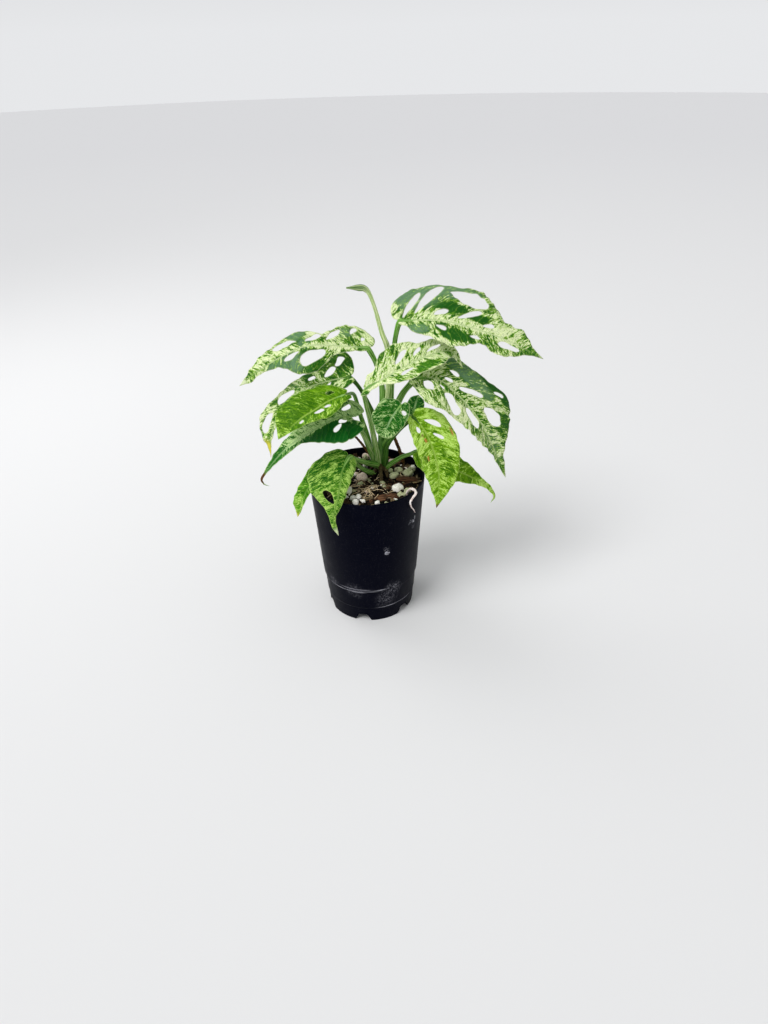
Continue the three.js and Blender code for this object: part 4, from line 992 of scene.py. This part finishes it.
def blade_cloth(leaf, length):
    """Flat points and triangles of a blade, with its outline and holes as edges."""
    loops = [outline_loop(leaf, length)] + [hole_loop(*hole) for hole in leaf.get("holes", ())]
    reach = np.abs(loops[0][:, 1]).max()
    a = np.arange(loops[0][:, 0].min(), length, INNER_STEP)
    rows = int(reach / (INNER_STEP * ROW_SQUEEZE)) + 1
    grid = []
    for r in range(-rows, rows + 1):
        if abs(r) > 1:
            across = np.full_like(a, r * INNER_STEP * ROW_SQUEEZE)
            grid.append(np.stack([a + (r % 2) * INNER_STEP / 2, across], -1))
    grid += [np.stack([a, np.full_like(a, c)], -1) for c in (-1.6, -0.8, 0, 0.8, 1.6)]
    grid = np.vstack(grid)
    grid = grid[inside(grid, loops)]
    grid = grid[edge_distance(grid, loops) > 0.6 * INNER_STEP]
    points = np.vstack([*loops, grid])
    edges = []
    first = 0
    for loop in loops:
        n = len(loop)
        edges += [(first + k, first + (k + 1) % n) for k in range(n)]
        first += n
    made = delaunay_2d_cdt([Vector(p) for p in points], edges, [], 0, 1e-5, False)
    flat = np.array([tuple(v) for v in made[0]])
    faces = np.array(made[2])
    faces = faces[inside(flat[faces].mean(1), loops)]
    a, b, c = (flat[faces[:, k]] for k in range(3))
    turn = (b[:, 0] - a[:, 0]) * (c[:, 1] - a[:, 1]) - (b[:, 1] - a[:, 1]) * (c[:, 0] - a[:, 0])
    faces[turn < 0] = faces[turn < 0][:, ::-1]
    return flat, faces, edge_distance(flat, loops)


def spot_share(along, across, spot, core, fade):
    """How far each point is in an oval spot: 1 up to core of its size, then fading to 0."""
    a, c, long, wide = spot
    off = ((along - a) / long) ** 2 + ((across - c) / wide) ** 2
    return 1 - smooth((np.sqrt(off) - core) / fade)


def leaf_layers(leaf, flat, margin, length, seed):
    """The vein, edge, paint and stain layers that the leaf material reads."""
    along, across = flat.T
    out = np.abs(across)
    lead = along - VEIN_SLANT * out - VEIN_CURVE * out**2
    fine = leaf.get("fine", 1)
    half = 13.7 * seed + 5.1 * (across < 0)
    vein = np.stack([lead * fine, out * fine, half], -1)
    edge = np.stack([margin, out, along / length], -1)
    paint = np.tile(np.array(leaf["paint"], float), (len(flat), 1))
    for *spot, values in leaf.get("patches", ()):
        share = spot_share(along, across, spot, 0.7, 0.6)
        for channel, value in values.items():
            paint[:, channel] += (value - paint[:, channel]) * share
    stain = np.zeros((len(flat), 4))
    for *spot, colour in leaf.get("stains", ()):
        share = spot_share(along, across, spot, 0.5, 0.8)
        new = share > stain[:, 3]
        stain[new, :3] = linear(colour)
        stain[:, 3] = np.maximum(stain[:, 3], share)
    return {"vein": vein, "edge": edge, "paint": paint, "stain": stain}


def blade_piece(name, leaf, seed):
    blade = Blade(leaf)
    flat, faces, margin = blade_cloth(leaf, blade.length)
    layers = leaf_layers(leaf, flat, margin, blade.length, seed)
    along, across = flat.T
    out = np.abs(across)
    share = np.clip(along / blade.length, 0, 1)
    middle = blade.point(along, across)
    normal = blade.normal(along, across)
    lead = layers["vein"][:, 0]
    veins = np.abs(np.sin(math.pi * lead / VEIN_SPACING)) ** 0.7 - 0.6
    quilt = VEIN_RELIEF * veins * smooth(out / 5) * smooth(margin / 3)
    pucker = PUCKER * np.sin(along / 1.9 + 2 * np.sin(across / 3.1)) * np.sin(across / 1.6 + seed)
    quilt += pucker * smooth(out / 4)
    uneven = leaf.get("ruffle", 1) * (0.55 + 0.45 * np.sin(along / 9 + across / 7 + seed))
    ripple = np.sin(lead / 1.7 + seed + 1.5 * np.sin(along / 11))
    quilt += RUFFLE * uneven * np.exp(-((margin / 4) ** 2)) * ripple * smooth(out / 6)
    groove = -0.3 * np.exp(-((across / 0.8) ** 2)) * (1 - share)
    half = 0.1 + 0.16 * smooth(margin / 1.6)
    ridge = RIB_RIDGE * np.exp(-((across / RIB_WIDTH) ** 2)) * (1 - share) * smooth((along + 1) / 3)
    top = middle + normal * (quilt + groove + half)[:, None]
    bottom = middle + normal * (quilt - half - ridge)[:, None]
    n = len(flat)
    sides = {}
    for face in faces:
        for p, q in zip(face, np.roll(face, -1)):
            if (q, p) in sides:
                del sides[(q, p)]
            else:
                sides[(p, q)] = True
    upper = [(a, c, b) for a, b, c in faces]
    lower = [(a + n, b + n, c + n) for a, b, c in faces]
    rim = [(p, q, q + n, p + n) for p, q in sides]
    indices = [0] * len(upper) + [1] * len(lower) + [0] * len(rim)
    doubled = {key: np.vstack([values, values]) for key, values in layers.items()}
    materials = LEAF_MATERIALS[leaf["look"]]
    make_piece("leaf_" + name, np.vstack([top, bottom]), upper + lower + rim, materials,
               "blade_" + name, doubled, indices)
    return blade


def stem_axis(z):
    """The middle of the stem at height z."""
    x, y, heights = Line(STEM).line.T
    return np.array([np.interp(z, heights, x), np.interp(z, heights, y), z])


def stalk_piece(name, leaf, blade):
    """A petiole: it clasps the stem as a sheath, and has a knee where it meets the midrib."""
    along = np.array([3.0, 9.0, 16.0])
    under = blade.point(along, np.zeros(3)) - blade.normal(along, np.zeros(3)) * 0.9
    start = np.array(leaf["stalk"][0], float)
    foot = stem_axis(start[2] - SHEATH) + SHEATH_IN * (start - stem_axis(start[2]))
    path = Line([foot, *leaf["stalk"], *under])
    joint = path.length - KNEE_BACK
    big, small = leaf["radii"]

    def shape(s, turn):
        knee = 1 + KNEE_SWELL * np.exp(-(((s - joint + 4) / 5) ** 2))
        taper = 1 - RIB_TAPER * smooth((s - joint) / 13)
        up = np.minimum(turn, 2 * math.pi - turn)
        groove = 1 - STALK_GROOVE * np.exp(-((up / 0.5) ** 2)) * smooth((joint - s) / 12)
        sheath = 1 + SHEATH_SWELL * np.exp(-(((s - SHEATH) / 22) ** 2))
        clasp = SHEATH_FOOT + (1 - SHEATH_FOOT) * smooth(s / (1.2 * SHEATH))
        return knee * taper * groove * sheath * clasp

    material = STALK_MATERIALS[leaf.get("stalk_look", "green")]
    tube_piece("stalk_" + name, path, (big, (big + small) / 2, small, small), material,
               "stem_green", "petiole_" + name, shape=shape, facing=(0, -0.3, 1))


# Stem, shoot and roots


def stem_piece():
    path = Line(STEM)

    def shape(s, turn):
        rings = sum(np.exp(-(((s - node) / 1.3) ** 2)) for node in STEM_NODES)
        return 1 + 0.12 * rings + 0.03 * np.cos(3 * turn + s / 9)

    tube_piece("stem", path, STEM_RADII, STEM_MATERIAL, "stem_green", "main_stem", sides=28,
               step=0.8, shape=shape)


def new_leaf_piece():
    """A rolled young leaf: the free edge winds round it as a low step."""
    path = Line(NEW_LEAF)

    def shape(s, turn):
        wind = (turn / (2 * math.pi) + s / 46) % 1
        blade = 1 + 1.1 * np.exp(-(((path.length - 9 - s) / 6) ** 2)) * np.cos(turn) ** 2
        return blade * (0.9 + 0.16 * wind - 0.16 * smooth((wind - 0.94) / 0.06))

    tube_piece("rolled_leaf", path, NEW_LEAF_RADII, NEW_LEAF_MATERIAL, "new_leaf",
               "new_leaf", sides=40, step=0.8, shape=shape)


def root_pieces():
    def knobbly(s, turn):
        return 1 + 0.09 * np.sin(s * 1.7 + 2 * turn) + 0.07 * np.sin(s * 0.8 - 3 * turn)

    for name, points in DRY_ROOTS.items():
        tube_piece(name + "_bark", Line(points), DRY_ROOT_RADII[name], DRY_ROOT_MATERIAL,
                   "dry_root", name, sides=12, step=0.6, shape=knobbly)
    tube_piece("pale_root", Line(PALE_ROOT), PALE_ROOT_RADII, PALE_ROOT_MATERIAL, "pale_root",
               "pale_root_on_rim", sides=12, step=0.5, shape=knobbly)
    for number, points in enumerate(CROWN_ROOTS, 1):
        tube_piece(f"crown_root_{number}", Line(points), CROWN_ROOT_RADII, CROWN_ROOT_MATERIAL,
                   "dry_root", sides=10, step=0.6, shape=knobbly)


# Potting mix


def soil_height(x, y):
    """Height of the mix: lumpy, a little mounded at the crown and lower at the wall."""
    lumps = (0.55 * np.sin(0.31 * x + 0.7) * np.sin(0.27 * y + 1.9)
             + 0.4 * np.sin(0.83 * x - 0.4 * y) + 0.3 * np.sin(0.61 * y + 1.13 * x + 2))
    crown = 1.6 * np.exp(-((x - CROWN[0]) ** 2 + (y - CROWN[1]) ** 2) / 90)
    return SOIL_TOP + 0.8 * lumps + crown - 1.6 * smooth((np.hypot(x, y) - 40) / 9)


def soil_bed():
    """The closed plug of mix under the loose grains."""
    rings, sides = BED_RINGS, BED_SIDES
    edge = wall_radius(SOIL_TOP - 2) - POT_WALL - 0.3
    turn = circle(sides)
    points = [(0, 0, float(soil_height(0, 0)))]
    rng = np.random.default_rng(11)
    for ring in range(1, rings + 1):
        r = edge * ring / rings
        x, y = r * np.cos(turn), r * np.sin(turn)
        z = soil_height(x, y) + rng.uniform(-0.35, 0.35, sides)
        points += list(zip(x, y, z))
    low = STEP_Z - 0.5
    for z, r in ((low + 1, wall_radius(low) - STEP_IN - POT_WALL - 0.4),
                 (SOIL_BOTTOM, wall_radius(FLOOR_Z) - STEP_IN - POT_WALL - 0.4)):
        points += list(zip(r * np.cos(turn), r * np.sin(turn), np.full(sides, z)))
    points.append((0, 0, SOIL_BOTTOM))
    faces = []
    for k in range(sides):
        m = (k + 1) % sides
        faces.append((0, 1 + k, 1 + m))
        for ring in range(rings + 1):
            a, b = 1 + ring * sides, 1 + (ring + 1) * sides
            faces.append((a + k, b + k, b + m, a + m))
        last = 1 + (rings + 1) * sides
        faces.append((last + k, len(points) - 1, last + m))
    make_piece("soil_bed", points, faces, [SOIL_MATERIAL], "soil")


def grains(name, spots, cuts, material, seed, lumps, squareness=1.0):
    """Many lumpy grains in one mesh. A spot is [x, y, z, (half sizes), turn, tilt]."""
    rng = np.random.default_rng(seed)
    base, triangles = ball(cuts)
    boxy = unit(base)
    boxy = np.sign(boxy) * np.abs(boxy) ** squareness
    points, faces, tints, local = [], [], [], []
    for x, y, z, sizes, turn, tilt in spots:
        lump = np.ones(len(base))
        for pitch in (2.1, 3.7, 6.1):
            lump += lumps * np.sin(base @ rng.normal(0, pitch, 3) + rng.uniform(0, 6.3)) * 2.1 / pitch
        shaped = boxy * lump[:, None] * np.array(sizes)
        spin = Matrix.Rotation(turn, 3, "Z") @ Matrix.Rotation(tilt, 3, "Y")
        spin = spin @ Matrix.Rotation(rng.uniform(-0.3, 0.3), 3, "X")
        local.append(shaped + rng.uniform(0, 500, 3))
        faces.append(triangles + len(points) * len(base))
        points.append(shaped @ np.array(spin).T + (x, y, z))
        tints.append(np.full((len(base), 3), rng.uniform()))
    layers = {"tint": np.vstack(tints), "grain": np.vstack(local)}
    make_piece(name, np.vstack(points), np.vstack(faces), [material], None, layers)


def loose_mix():
    rng = np.random.default_rng(5)

    def spot(reach):
        r = reach * math.sqrt(rng.uniform())
        turn = rng.uniform(0, 2 * math.pi)
        return r * math.cos(turn), r * math.sin(turn)

    def lying(x, y, sizes, rise, turn=None, tilt=None):
        z = float(soil_height(x, y)) + rise - sizes[2]
        turn = rng.uniform(0, 2 * math.pi) if turn is None else turn
        tilt = rng.normal(0, 0.35) if tilt is None else tilt
        return x, y, z, sizes, turn, tilt

    crumbs = []
    for _ in range(CRUMBS):
        size = rng.uniform(0.5, 1.5)
        sizes = (size * rng.uniform(1, 1.8), size, size * rng.uniform(0.5, 1))
        crumbs.append(lying(*spot(CRUMB_REACH), sizes, sizes[2] * rng.uniform(0.8, 1.9)))
    grains("soil_crumbs", crumbs, 1, CRUMB_MATERIAL, 31, 0.16)

    chips = [lying(x, y, (long, wide, BARK_HALF_THICK), rise, math.radians(turn), 0.06)
             for x, y, long, wide, turn, rise in BARK]
    for _ in range(CHIPS):
        long = rng.uniform(1.6, 6.5)
        sizes = (long, long * rng.uniform(0.18, 0.45), rng.uniform(0.5, 1.3))
        chips.append(lying(*spot(GRAIN_REACH), sizes, sizes[2] * rng.uniform(1.1, 2.2)))
    grains("bark_chips", chips[len(BARK):], 2, BARK_MATERIAL, 32, 0.1, CHIP_SQUARENESS)
    grains("bark_pieces", chips[:len(BARK)], 4, BIG_BARK_MATERIAL, 37, 0.09, CHIP_SQUARENESS)

    def stones(name, placed, count, low, high, material, seed, lumps):
        spots = [lying(x, y, (r, r * 0.88, r * 0.82), rise + 1.2) for x, y, r, rise in placed]
        for _ in range(count):
            r = rng.uniform(low, high)
            spots.append(lying(*spot(GRAIN_REACH), (r * 1.15, r, r * 0.8), r * rng.uniform(0.7, 1.2)))
        grains(name, spots, 3, material, seed, lumps, STONE_SQUARENESS)

    stones("perlite", PERLITE, 60, 0.5, 1.7, PERLITE_MATERIAL, 33, 0.13)
    stones("pumice", PUMICE, 16, 0.8, 2.0, PUMICE_MATERIAL, 34, 0.12)
    stones("stones", STONES, 24, 0.8, 2.2, STONE_MATERIAL, 35, 0.15)


def fine_roots():
    """Pale feeder roots that cross on the mix in front of the crown, and a few elsewhere."""
    rng = np.random.default_rng(9)
    all_points, all_faces = [], []
    count = 0
    for number in range(FINE_ROOTS):
        near = number < FINE_ROOTS_NEAR
        x, y = (rng.normal(2, 6), rng.normal(-20, 6)) if near else rng.uniform(-32, 32, 2)
        heading = rng.uniform(0, 2 * math.pi)
        steps = rng.integers(4, 7)
        length = rng.uniform(3.0, 5.0) if near else rng.uniform(1.5, 3.5)
        line = []
        for k in range(steps):
            x, y = (float(np.clip(v, -FINE_ROOT_REACH, FINE_ROOT_REACH)) for v in (x, y))
            rise = 0.9 + rng.uniform(0.4, 2.4) * math.sin(math.pi * (k + 0.5) / steps)
            line.append((x, y, float(soil_height(x, y)) + rise))
            heading += rng.normal(0, 0.18)
            x += length * math.cos(heading)
            y += length * math.sin(heading)
        thick = rng.uniform(0.22, 0.46) if near else rng.uniform(0.15, 0.34)
        points, faces = tube(Line(line, 12), (thick, thick * 0.5), 6, 0.9)[:2]
        all_points.append(points)
        all_faces += [tuple(k + count for k in face) for face in faces]
        count += len(points)
    make_piece("fine_roots", np.vstack(all_points), all_faces, [FINE_ROOT_MATERIAL])


# Pot


def softened(profile, radius, cuts=4):
    """The closed profile with each corner rounded."""
    out = []
    n = len(profile)
    for k in range(n):
        before, here, after = (np.array(profile[(k + j) % n], float) for j in (-1, 0, 1))
        if here[0] == 0:
            out.append(here)
            continue
        reach = [min(radius, 0.45 * np.linalg.norm(other - here)) for other in (before, after)]
        a = here + unit(before - here) * reach[0]
        b = here + unit(after - here) * reach[1]
        for t in np.linspace(0, 1, cuts + 1):
            out.append(a * (1 - t) ** 2 + here * 2 * t * (1 - t) + b * t**2)
    return out


def lathe(name, profile, segments):
    """A closed mesh object turned round +Z from a closed (radius, height) profile."""
    turn = circle(segments)
    points, rows = [], []
    for r, z in profile:
        if r < 1e-6:
            rows.append([len(points)] * segments)
            points.append((0, 0, z))
            continue
        rows.append(list(range(len(points), len(points) + segments)))
        points += list(zip(r * np.cos(turn), r * np.sin(turn), np.full(segments, z)))
    faces = []
    for low, high in zip(rows, rows[1:] + rows[:1]):
        for k in range(segments):
            m = (k + 1) % segments
            face = list(dict.fromkeys((low[k], low[m], high[m], high[k])))
            if len(face) > 2:
                faces.append(face)
    return plain_mesh(name, points, faces)


def notch_cutter(number):
    turn = (number + NOTCH_TURN) / NOTCHES * 2 * math.pi
    shape = [(-NOTCH_BOTTOM / 2, -1), (NOTCH_BOTTOM / 2, -1), (NOTCH_TOP / 2, NOTCH_HEIGHT),
             (-NOTCH_TOP / 2, NOTCH_HEIGHT)]
    points = []
    for depth in NOTCH_REACH:
        for x, z in shape:
            points.append((x * math.cos(turn) - depth * math.sin(turn),
                           x * math.sin(turn) + depth * math.cos(turn), z))
    faces = [(3, 2, 1, 0), (4, 5, 6, 7)]
    faces += [((k + 1) % 4, (k + 1) % 4 + 4, k + 4, k) for k in range(4)]
    return plain_mesh(f"cutter_{number}", points, faces)


def drain_cutter(number):
    angle = (number + 0.5) / DRAIN_HOLES * 2 * math.pi
    n = DRAIN_SIDES
    x = DRAIN_RING * math.cos(angle) + DRAIN_RADIUS * np.cos(circle(n))
    y = DRAIN_RING * math.sin(angle) + DRAIN_RADIUS * np.sin(circle(n))
    points = [(a, b, z) for z in (FLOOR_Z - 3, FLOOR_Z + 5) for a, b in zip(x, y)]
    faces = [tuple(range(n - 1, -1, -1)), tuple(range(n, 2 * n))]
    faces += [(k, (k + 1) % n, (k + 1) % n + n, k + n) for k in range(n)]
    return plain_mesh(f"drill_{number}", points, faces)


def pot_piece():
    profile = [
        (wall_radius(0) - STEP_IN - FOOT_IN, 0),
        (wall_radius(FOOT_Z) - STEP_IN - FOOT_IN, FOOT_Z),
        (wall_radius(FOOT_Z) - STEP_IN, FOOT_Z + 0.6),
        (wall_radius(STEP_Z) - STEP_IN, STEP_Z),
        (wall_radius(STEP_Z + 1), STEP_Z + 1),
        (POT_RIM_R, POT_HEIGHT),
        (POT_RIM_R - POT_WALL, POT_HEIGHT),
        (wall_radius(STEP_Z) - STEP_IN - POT_WALL, STEP_Z),
        (wall_radius(FLOOR_Z) - STEP_IN - POT_WALL, FLOOR_Z + FLOOR_THICK),
        (0, FLOOR_Z + FLOOR_THICK),
        (0, FLOOR_Z),
        (wall_radius(FLOOR_Z) - STEP_IN - POT_WALL - 1, FLOOR_Z),
        (wall_radius(0) - STEP_IN - POT_WALL - 1.2, 0),
    ]
    pot = lathe("pot_shell", softened(profile, 0.5), POT_SEGMENTS)
    cutters = [notch_cutter(k) for k in range(NOTCHES)]
    cutters += [drain_cutter(k) for k in range(DRAIN_HOLES)]
    for cutter in cutters:
        cut = pot.modifiers.new(cutter.name, "BOOLEAN")
        cut.operation = "DIFFERENCE"
        cut.solver = "EXACT"
        cut.object = cutter
    bpy.context.view_layer.update()
    ready = pot.evaluated_get(bpy.context.evaluated_depsgraph_get())
    pot.data = bpy.data.meshes.new_from_object(ready)
    pot.modifiers.clear()
    for cutter in cutters:
        bpy.data.objects.remove(cutter)
    pot.data.polygons.foreach_set("use_smooth", np.ones(len(pot.data.polygons), bool))
    pot.data.set_sharp_from_angle(angle=math.radians(35))
    pot.data.materials.clear()
    pot.data.materials.append(POT_MATERIAL)
    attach(pot, "root")
    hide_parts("pot")


# Stage


def camera():
    pitch, roll = CAMERA_PITCH, CAMERA_ROLL
    ahead = Vector((0, math.cos(pitch), -math.sin(pitch)))
    level = Vector((1, 0, 0))
    above = level.cross(ahead)
    right = level * math.cos(roll) + above * math.sin(roll)
    up = above * math.cos(roll) - level * math.sin(roll)
    eye = added("camera", bpy.data.cameras.new("camera"))
    eye.data.lens = CAMERA_LENS
    eye.data.sensor_width = SENSOR
    eye.data.clip_start = 0.01
    turn = Matrix((right, up, -ahead)).transposed().to_4x4()
    eye.matrix_world = Matrix.Translation(np.array(CAMERA_AT) * MM + POT_AXIS) @ turn
    bpy.context.scene.camera = eye


def soft_box():
    light = bpy.data.lights.new("soft_box", "AREA")
    light.shape = "DISK"
    light.size = SOFT_BOX_SIZE
    light.energy = SOFT_BOX_POWER
    box = added("soft_box", light)
    box.location = SOFT_BOX_AT
    aim = Vector(SOFT_BOX_AIM) - Vector(SOFT_BOX_AT)
    box.rotation_euler = aim.to_track_quat("-Z", "Y").to_euler()


def stage():
    world = bpy.data.worlds.new("studio")
    world.use_nodes = True
    sky = world.node_tree.nodes["Background"]
    sky.inputs["Color"].default_value = SKY_COLOUR
    nodes, links = world.node_tree.nodes, world.node_tree.links
    height = nodes.new("ShaderNodeSeparateXYZ")
    glow = nodes.new("ShaderNodeMapRange")
    for socket, value in zip(glow.inputs[1:5], (0.0, 0.3, HORIZON, SKY)):
        socket.default_value = value
    links.new(nodes.new("ShaderNodeTexCoord").outputs["Generated"], height.inputs[0])
    links.new(height.outputs[2], glow.inputs[0])
    links.new(glow.outputs[0], sky.inputs["Strength"])
    bpy.context.scene.world = world
    sun = added("sun", bpy.data.lights.new("sun", "SUN"))
    sun.data.energy = SUN
    sun.data.angle = SUN_SPREAD
    sun.rotation_euler = (-Vector(SUN_FROM)).to_track_quat("-Z", "Y").to_euler()
    soft_box()
    rim = [(FLOOR_RADIUS * math.cos(t), FLOOR_RADIUS * math.sin(t), 0) for t in circle(96)]
    mesh = bpy.data.meshes.new("floor")
    mesh.from_pydata(rim, [], [tuple(range(len(rim)))])
    floor = added("floor", mesh)
    g = Shader("floor_paint")
    away = g.node("VectorMath", {0: g.place()}, operation="LENGTH").outputs["Value"]
    colour = g.mix(g.ramp(away, 0.6, 3.6), FLOOR_NEAR, FLOOR_FAR)
    mesh.materials.append(g.finish(colour, 0.9, Specular_IOR_Level=0.1))
    bpy.context.scene.view_settings.view_transform = "Standard"


camera()
stage()

LEAF_MATERIALS = {
    look: (leaf_material("leaf_" + look, palette, False),
           leaf_material("leaf_back_" + look, palette, True))
    for look, palette in PALETTES.items()
}
STALK_COLOURS = {  # base, streak and deep
    "green": ((0.32, 0.58, 0.12), (0.60, 0.76, 0.42), (0.11, 0.36, 0.03)),
    "pale": ((0.44, 0.65, 0.24), (0.76, 0.85, 0.58), (0.20, 0.47, 0.08)),
    "dark": ((0.20, 0.38, 0.12), (0.36, 0.54, 0.22), (0.10, 0.25, 0.06)),
}
STALK_MATERIALS = {look: stalk_material("stalk_" + look, *colours)
                   for look, colours in STALK_COLOURS.items()}
STEM_MATERIAL = stalk_material("stem_skin", (0.26, 0.55, 0.12), (0.54, 0.72, 0.40),
                               (0.08, 0.33, 0.03), low=(0.40, 0.32, 0.18))
NEW_LEAF_MATERIAL = stalk_material("rolled_leaf_skin", (0.64, 0.80, 0.40), (0.92, 0.95, 0.74),
                                   (0.42, 0.62, 0.24), tip=(0.14, 0.36, 0.12))
DRY_ROOT_MATERIAL = root_material("dry_root_bark", (0.50, 0.34, 0.18), (0.22, 0.13, 0.07))
CROWN_ROOT_MATERIAL = root_material("crown_root_bark", (0.40, 0.33, 0.20), (0.13, 0.10, 0.06))
PALE_ROOT_MATERIAL = root_material("pale_root_skin", (0.99, 0.97, 0.95), (0.86, 0.76, 0.72), 0.55)
FINE_ROOT_MATERIAL = root_material("fine_root_skin", (0.97, 0.89, 0.74), (0.70, 0.58, 0.43))
SOIL_MATERIAL = mineral_material("soil_bed_mix", (0.03, 0.02, 0.012), (0.006, 0.003, 0.002),
                                 0.0015, 0.0008)
CRUMB_MATERIAL = bark_material("soil_crumb_mix", (0.035, 0.022, 0.014), (0.14, 0.10, 0.065),
                               (0.51, 0.45, 0.34))
BARK_MATERIAL = bark_material("bark", (0.08, 0.045, 0.03), (0.25, 0.18, 0.11), (0.54, 0.47, 0.35))
BIG_BARK_MATERIAL = bark_material("bark_piece", (0.30, 0.20, 0.13), (0.44, 0.30, 0.21),
                                  (0.52, 0.44, 0.34))
PERLITE_MATERIAL = mineral_material("perlite_grain", (0.98, 0.97, 0.94), (0.74, 0.71, 0.62),
                                    0.0011, 0.0004)
PUMICE_MATERIAL = mineral_material("pumice_grain", (0.95, 0.87, 0.81), (0.60, 0.48, 0.40),
                                   0.0012, 0.0005)
STONE_MATERIAL = mineral_material("zeolite_grain", (0.72, 0.73, 0.58), (0.36, 0.37, 0.26),
                                  0.002, 0.0003)
POT_MATERIAL = pot_material()

pot_piece()
soil_bed()
loose_mix()
fine_roots()
stem_piece()
new_leaf_piece()
root_pieces()
for number, (name, leaf) in enumerate(LEAVES.items()):
    stalk_piece(name, leaf, blade_piece(name, leaf, number))
